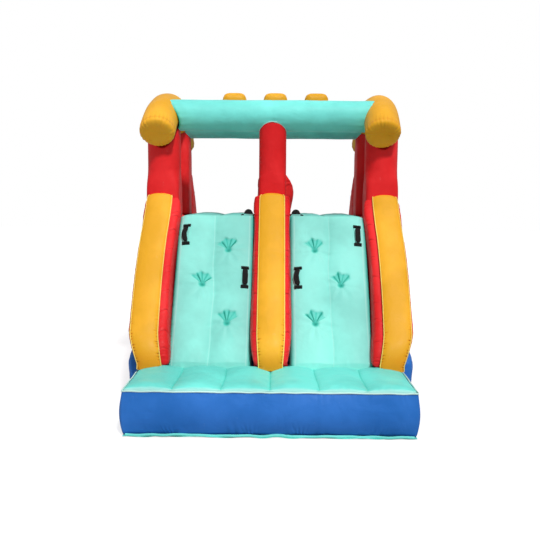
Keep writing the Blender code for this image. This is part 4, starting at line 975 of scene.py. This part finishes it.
def arch_place_for(side_x, seed):
    def place(a, b):
        """b runs along the tube from -1 to 1; beyond the cap's start it closes over the cap."""
        turn = a * FULL_TURN
        body = np.clip(b / CAP_START, -1, 1)
        cap = np.clip((np.abs(b) - CAP_START) / (1 - CAP_START), 0, 1)
        angle = body * HALF_TURN
        closing = np.sqrt(np.clip(1 - cap**2.4, 0, 1))
        end = (1 - np.abs(body)) * HALF_TURN * BOW_RADIUS
        fold = np.sin(turn * CAP_FOLDS + 1.2 * np.sin(turn * 3 + seed)) * (0.6 + 0.4 * np.sin(turn * 5 + 2 * seed))
        r = ARCH_RADIUS * closing + 0.0030 * fold * np.exp(-end / 0.04) * closing * bell(cap, 0.35)
        r += 0.003 * ripples(xyz(a * 3, body * 2, side_x), 0.6, seed) * closing
        out = CAP_REACH * np.sin(cap * math.pi / 2) ** 0.75 + 0.012 * fold * cap * (1 - cap)
        out -= 0.018 * np.clip((cap - 0.75) / 0.25, 0, 1) ** 2
        ahead = out * np.sign(b)
        radial = BOW_RADIUS + r * np.sin(turn)
        # Both front ends are pulled a little to the left and up, as the air sets them.
        front = np.clip(-np.sin(angle) / math.sin(HALF_TURN), 0, 1) ** 1.5
        return xyz(side_x + r * np.cos(turn) - 0.023 * front,
                   ARCH_MIDDLE + ahead * np.cos(angle) + radial * np.sin(angle),
                   ARCH_CENTRE - ahead * np.sin(angle) + radial * np.cos(angle) + 0.018 * front)
    return place


stations = np.concatenate([np.linspace(-1, -CAP_START, 26)[:-1], np.linspace(-CAP_START, CAP_START, 120),
                           np.linspace(CAP_START, 1, 26)[1:]])
for side, name in SIDES:
    piece, a, b = woven(name + "_arch_tube", np.linspace(0, 1, 129), stations,
                        arch_place_for(side * SIDE_WALL_X, 5 + side))
    # Painted shade in the caps' folds and along their rim seams.
    rim = np.abs(b) - CAP_START
    fold = np.sin(a * FULL_TURN * CAP_FOLDS + 1.2 * np.sin(a * 6 * math.pi + 5 + side)) * bell(rim, 0.04)
    mark_painted_shade_and_pale(piece, np.maximum(0.42 * np.clip(-fold, 0, 1), np.exp(-np.abs(rim) * 0.8 / 0.004) * 0.35))
    sewn(piece, 60, merged, closed, outward)
    dressed(piece, yellow, "yellow_fabric", name + "_arch", fill=1)

# Top blocks: three small yellow cushions sewn on the rear crossbar. Each is one closed chamber with soft corners,
# a little narrower at its top.
low, high = REAR_POST - 0.080, REAR_POST + 0.080
for name, spacing in (("left", -0.395), ("centre", 0.0), ("right", 0.395)):
    x = spacing + 0.02
    outline = [(x + across, z) for across, z in ((-0.119, 2.39), (0.119, 2.39), (0.119, 2.53), (0.106, 2.634),
                                                 (-0.106, 2.634), (-0.119, 2.53))]
    piece = panel(name + "_block_pad", outline, low, high, "Y", 0.045, 0.0105, 0.006)
    gathered(piece, outline, low, high, "Y", 0.0022, 131 + int(x * 9), 0.035, 0.03)
    dressed(piece, yellow, "yellow_fabric", name + "_block", fill=0.95)

# Slides: two cyan lanes of two channels each, down to the pool, between three red walls with yellow strips.
# They are made as the climbing side is, and the centre wall bulges out beside the rear centre post.
SLIDE_TOP, SLIDE_FOOT = np.array([FRONT + 2.4503, DECK]), np.array([FRONT + 3.70, 0.30])
SLIDE_LENGTH = float(np.linalg.norm(SLIDE_FOOT - SLIDE_TOP))
DOWN = (SLIDE_FOOT - SLIDE_TOP) / SLIDE_LENGTH
RISE = (-DOWN[1], DOWN[0])
SLIDE_X, SLIDE_HALF, SLIDE_DEPTH = 0.4815, 0.3155, 0.126
on_slide = sloped(SLIDE_TOP, DOWN, RISE)


def slide_crown(x, down):
    _, hump, groove = channels(np.abs(x), SLIDE_X - SLIDE_HALF, SLIDE_HALF, 2)
    near = np.minimum(down, SLIDE_LENGTH - down)
    height = 0.034 * hump * rolled(near, 0.055) + 0.0018 * pleats(down, groove, 0.08, 0.05, 141)
    # The second value is painted shade in the groove between the channels.
    return height + 0.002 * ripples(xyz(x, down, 0), 0.3, 142) * hump, np.exp(-groove / 0.008) * 0.9


def slide_top(a, b):
    return on_slide(a, b, slide_crown(a, b)[0])


def slide_under(a, b):
    return on_slide(a, b + SLIDE_DEPTH * RISE[0] / DOWN[0], -SLIDE_DEPTH)


for side, name in SIDES:
    across = np.sort(side * np.linspace(SLIDE_X - SLIDE_HALF, SLIDE_X + SLIDE_HALF, 62))
    piece, a, b = cushion(name + "_slide_lane_pad", across, np.linspace(0, SLIDE_LENGTH, 110), slide_top, slide_under)
    # Painted shade in the grooves.
    mark_painted_shade_and_pale(piece, slide_crown(a, b)[1])
    dressed(piece, cyan, "cyan_fabric", name + "_slide_lane", fill=0.9)


def slide_line_for(top_height):
    """The slide strips' outer line: the climbing strip's, turned about, so it is worked out mirrored in Y."""
    def line(depth, end_y):
        mirrored = nose_line(depth, -end_y, (-(FRONT + 3.70), 0.62), (-(REAR_POST + POST_RADIUS / 2), top_height),
                             0.12, BASE_TOP + 0.001)
        return mirrored * (-1, 1)
    return line


for name, middle in ROW:
    height, half, radius = (2.05, WALL_HALF, POST_RADIUS) if middle else (1.90, 0.162, CENTRE_POST_RADIUS)
    line_of = slide_line_for(height)
    inner = [tuple(p) for p in line_of(0.034, REAR_POST + (radius - 0.012 if middle else 0.0))][::-1]
    if middle:
        front = REAR_POST - POST_RADIUS + 0.004
        outline = inner + [(front, BASE_TOP + 0.004), (front, DECK - 0.004), (inner[0][0], DECK - 0.004)]
    else:
        head = FRONT + 2.455
        foot_y = inner[-1][0]
        outline = inner[:-1] + [(foot_y, 1.276 + (foot_y - head) * DOWN[1] / DOWN[0]), (head, 1.276),
                                (head, DECK + 0.004), (inner[0][0], DECK + 0.004)]
    low, high = middle - half, middle + half
    piece = panel(name + "_slide_wall_panel", outline, low, high, "X", 0.022, 0.024, 0.007)
    if not middle:
        shouldered(piece, outline, middle, half, 0.010, 0.0)
        points = points_of(piece.data)
        points[:, 0] += 0.030 * bell(points[:, 2] - 1.69, 0.13)
        points[:, 0] *= 1 - 0.22 * np.clip((points[:, 2] - 1.74) / 0.13, 0, 1) ** 2
        put(piece.data, points)
    gathered(piece, outline, low, high, "X", 0.0035, 151 + int(middle * 3), 0.06, 0.06)
    dressed(piece, red, "red_fabric", name + "_slide_wall", fill=1)
    strip = crowned_strip(name + "_slide_strip_tube", middle, line_of, REAR_POST + radius, 240, 161 + int(middle * 3))
    dressed(strip, yellow, "yellow_fabric", name + "_slide_strip", fill=0.9)

# Splash pool: three blue rims round a thin cyan floor cushion with six welded channels. The rims are closed
# chambers, sewn to the ground sheet and to each other.
RIM_TOP, POOL_START, POOL_END, RIM_INNER, RIM_OUTER = 0.33, FRONT + 3.7003, FRONT + 4.65, 1.095 - 0.26, 1.090
RIM_BACK = POOL_END - 0.26


def rim_outline(low, high):
    return [(low, SEAT + 0.002), (high, SEAT + 0.002), (high, RIM_TOP - 0.005), (low, RIM_TOP - 0.005)]


outline = rim_outline(POOL_START + 0.004, RIM_BACK - 0.005)
for name, low, high in (("left", -RIM_OUTER, -RIM_INNER - 0.004), ("right", RIM_INNER + 0.004, RIM_OUTER)):
    piece = panel(name + "_pool_rim_tube", outline, low, high, "X", 0.05, 0.022, 0.006)
    gathered(piece, outline, low, high, "X", 0.003, 171)
    dressed(piece, blue, "blue_fabric", name + "_pool_rim", fill=1)
outline = rim_outline(-RIM_OUTER, RIM_OUTER)
piece = panel("back_pool_rim_tube", outline, RIM_BACK + 0.004, POOL_END - 0.005, "Y", 0.05, 0.026, 0.006)
gathered(piece, outline, RIM_BACK + 0.004, POOL_END - 0.004, "Y", 0.003, 172)
dressed(piece, blue, "blue_fabric", "back_pool_rim", fill=1)


def pool_place(a, b):
    near = np.minimum(np.minimum(b - POOL_START, RIM_BACK - b), RIM_INNER - np.abs(a))
    return xyz(a, b, SEAT + 0.042 + 0.018 * channels(a, -RIM_INNER, RIM_INNER / 3, 6)[1] * rolled(near, 0.04))


piece, a, b = cushion("pool_floor_pad", np.linspace(-RIM_INNER + 0.006, RIM_INNER - 0.006, 109),
                      np.linspace(POOL_START + 0.006, RIM_BACK - 0.006, 46),
                      pool_place, lambda a, b: xyz(a, b, SEAT + 0.003))
# Painted shade in the grooves between the channels.
mark_painted_shade_and_pale(piece, np.exp(-channels(a, -RIM_INNER, RIM_INNER / 3, 6)[2] / 0.008) * 0.8)
dressed(piece, cyan, "cyan_fabric", "pool_floor", fill=0.8)

# Air inlet: an open sleeve of blue fabric at the back, slack and wrinkled, for the blower's spout. It is tied
# tight round the spout in use, at the narrow place.
SLEEVE_RADIUS, SLEEVE_LENGTH, TIE = 0.105, 0.258, 0.17
SLEEVE_X, SLEEVE_Z = -0.60, 0.012 + 0.045 + SLEEVE_RADIUS


def sleeve_place(a, b):
    turn = a * FULL_TURN
    y = POOL_END + 0.001 + b
    r = SLEEVE_RADIUS - 0.004 - 0.010 * bell(b - TIE, 0.02)
    r = r + 0.004 * pleats(turn * SLEEVE_RADIUS, np.abs(b - TIE), 0.045, 0.05, 181)
    r = r + 0.003 * ripples(xyz(np.cos(turn) * 0.1, y, np.sin(turn) * 0.1), 0.12, 182)
    return xyz(SLEEVE_X + r * np.cos(turn), y, SLEEVE_Z + r * np.sin(turn))


piece, _, _ = woven("blower_sleeve_fabric", np.linspace(0, 1, 97), np.linspace(0, SLEEVE_LENGTH, 60), sleeve_place)
edited(piece, merged, outward)
applied(piece, "SOLIDIFY", thickness=0.0025, offset=-1)
sewn(piece, 50, outward)
dressed(piece, blue, "blue_fabric", "blower_sleeve")

# Handles: six loops of black ribbed polypropylene webbing, two pairs on the lanes and one pair on the deck's front
# edge. Each loop swings between two box-stitched tabs, on a backing strip of the lanes' own fabric.
TAG_LENGTH, TAPE_THICK = 0.026, 0.003
BACKING_WIDTH, TAB_WIDTH = 0.056, 0.066


def webbing_material():
    material, tree = new_material("black_webbing_tape")
    ribs = node(tree, "TexWave", bands_direction="Y", Vector=node(tree, "UVMap").outputs["UV"], Scale=150,
                Distortion=1.2, Detail_Scale=4).outputs["Fac"]
    fibre = noise(tree, node(tree, "TexCoord").outputs["Object"], 260, 3, 0.6)
    tone = mixed(tree, ranged(tree, ribs, 0.2, 0.9, 0, 1), (0.003, 0.003, 0.004), (0.012, 0.012, 0.013))
    tone = mixed(tree, ranged(tree, fibre, 0.55, 0.8, 0, 0.3), tone, (0.03, 0.03, 0.032))
    normal = raised(tree, fibre, 0.0004, 0.5, raised(tree, ribs, 0.0008, 0.8))
    surfaced(tree, Base_Color=tone, Normal=normal, Roughness=0.7, Specular_IOR_Level=0.25)
    return material


def placed(frame_matrix, along, across, height):
    """Points given in a handle's own frame: along it, across it and out of the cushion."""
    return (xyz(along, across, height, 1.0) @ np.array(frame_matrix).T)[:, :3]


def strap(name, length, width, rise, frame_matrix, flop, tilt):
    """The free loop of a handle: a tape that springs up from both stitched ends, leans to one side and tilts."""
    def place(a, b):
        free = np.sin(math.pi * np.clip(b / length + 0.5, 0, 1))
        narrow = 0.86 - 0.38 * bell(free, 0.22)
        turn = math.radians(tilt) * free**0.7
        height = 0.012 + (rise - 0.012) * free**0.5 + 0.0025 * np.cos(a / width * math.pi) * free + TAPE_THICK / 2
        return placed(frame_matrix, b, a * narrow * np.cos(turn) + flop * free**1.4, height + a * np.sin(turn))

    piece, _, _ = woven(name, np.linspace(-width / 2, width / 2, 13), np.linspace(-length / 2, length / 2, 61), place)
    applied(piece, "SOLIDIFY", thickness=TAPE_THICK, offset=-1)
    edited(piece, outward)
    applied(piece, "BEVEL", width=0.0008, segments=2, limit_method="ANGLE")
    bpy.ops.object.shade_smooth_by_angle(angle=math.radians(40))
    return piece


def backing_strip(name, length, frame_matrix):
    """The backing: a flat strip of the cushion's own fabric, under the loop, that spreads its pull."""
    end, half = length / 2 + TAG_LENGTH, BACKING_WIDTH / 2

    def place(a, b):
        side = rolled(np.minimum(half - np.abs(a), end - np.abs(b)), 0.004)
        return placed(frame_matrix, b, a, 0.0010 + 0.002 * side)

    def below(a, b):
        return placed(frame_matrix, b * 0.995, a * 0.99, -0.006)

    return cushion(name, np.linspace(-half, half, 21), np.linspace(-end, end, 61), place, below)[0]


def stitched_tab(name, length, frame_matrix, end, tall):
    """The loop's end, folded under and box-stitched: a short thick square of tape, wider than the loop."""
    start, half = length / 2, TAB_WIDTH / 2

    def place(a, b):
        near = np.minimum(np.minimum(b - start, start + TAG_LENGTH - b), half - np.abs(a))
        height = 0.0045 + tall * rolled(near, 0.005) - 0.0015 * bell(near - 0.005, 0.0012)
        height += 0.0008 * np.sin(a * 300) * rolled(near, 0.01)
        return placed(frame_matrix, end * b, a, height - 0.4 * tall * np.clip((b - start - 0.008) / 0.014, 0, 1))

    def below(a, b):
        return placed(frame_matrix, end * b, a * 0.98, 0.0015)

    return cushion(name, np.linspace(-half, half, 25), np.linspace(start, start + TAG_LENGTH, 15), place, below)[0]


def handle_frame(origin, along, out):
    return Matrix.Translation(origin) @ Matrix((along, out.cross(along), out)).transposed().to_4x4()


def lane_handle_frame(x, up):
    """A frame on the lane's crown as the CAD has it, across the slope between two points beside the handle."""
    ends = []
    for px in (x + 0.024, x - 0.024):
        crown = 0.034 * abs(math.sin(math.pi * (abs(px) - LANE_X + LANE_HALF) / LANE_HALF)) ** 0.7
        ends.append(Vector(on_lane(np.array([px]), up, crown)[0]))
    along = Vector((0, UP[0], UP[1]))
    return handle_frame((ends[0] + ends[1]) / 2, along, (ends[0] - ends[1]).normalized().cross(along))


webbing = webbing_material()
for side, name in SIDES:
    crest = handle_frame(Vector((side * 0.206, FRONT + 1.47, DECK + 0.0123)), Vector((1, 0, 0)), Vector((0, 0, 1)))
    # Each row: kind, frame, length and width of the loop, how far it leans, tilts and rises, and its tabs' height.
    kinds = (
        ("outer", lane_handle_frame(side * 0.718, 1.147), 0.150, 0.050, 0.013 if side < 0 else 0.002, 0, 0.026, 0.0165),
        ("inner", lane_handle_frame(side * 0.218, 0.744), 0.150, 0.050, 0.000 if side < 0 else 0.011, 0, 0.026, 0.0165),
        ("crest", crest, 0.080, 0.047, -0.004, 58, 0.034, 0.010),
    )
    for kind, seat, length, width, flop, tilt, rise, tall in kinds:
        handle = f"{name}_{kind}_handle"
        grip = strap(handle + "_loop", length - 0.006, width, rise, seat, flop, tilt)
        dressed(grip, webbing, "black_webbing", handle + "_grip", body=handle + "_grip")
        backing = backing_strip(handle + "_backing", length, seat)
        # The backing takes the lanes' paler copy of the cyan, with its painted sheen.
        dressed(backing, lane_cyan_painted_sheen, "cyan_fabric", handle + "_patch")
        for end, place_name in ((-1, "low"), (1, "high")):
            tab = stitched_tab(f"{handle}_tab_{place_name}", length, seat, end, tall)
            dressed(tab, webbing, "black_webbing")

# Stake loops: a flat loop of the same webbing sewn to each side of the ground sheet, with an eye for the stake.
# It lies on the ground beside the base chambers.
EYE_START, EYE_REACH, EYE_WIDE, EYE_MIDDLE = 1.0603, 0.085, 0.070, FRONT + 3.10 + 0.035
for side, name in SIDES:
    def loop_place(a, b):
        """a is across the tape, b the share of the way round the eye."""
        turn = b * FULL_TURN
        x, y = [np.sign(c) * np.abs(c) ** 0.35 * (size / 2 - 0.010 + a)
                for c, size in ((np.cos(turn), EYE_REACH), (np.sin(turn), EYE_WIDE))]
        return xyz(side * (EYE_START + EYE_REACH / 2 + x), EYE_MIDDLE + y, 0.0052 + 0.0006 * np.sin(b * 30))

    piece, _, _ = woven(name + "_stake_loop_tape", np.linspace(-0.0095, 0.0095, 9), np.linspace(0, 1, 97), loop_place)
    edited(piece, merged, outward)
    applied(piece, "SOLIDIFY", thickness=0.0045, offset=-1)
    sewn(piece, 40, outward)
    dressed(piece, webbing, "black_webbing", name + "_stake_loop")

# Sizes: the CAD model's box and the dressed model's box, side by side. The fabric may
# stand only a little proud of the CAD.
before, after = size_before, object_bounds()
{"before": [list(before[0]), list(before[1])], "after": [list(after[0]), list(after[1])]}
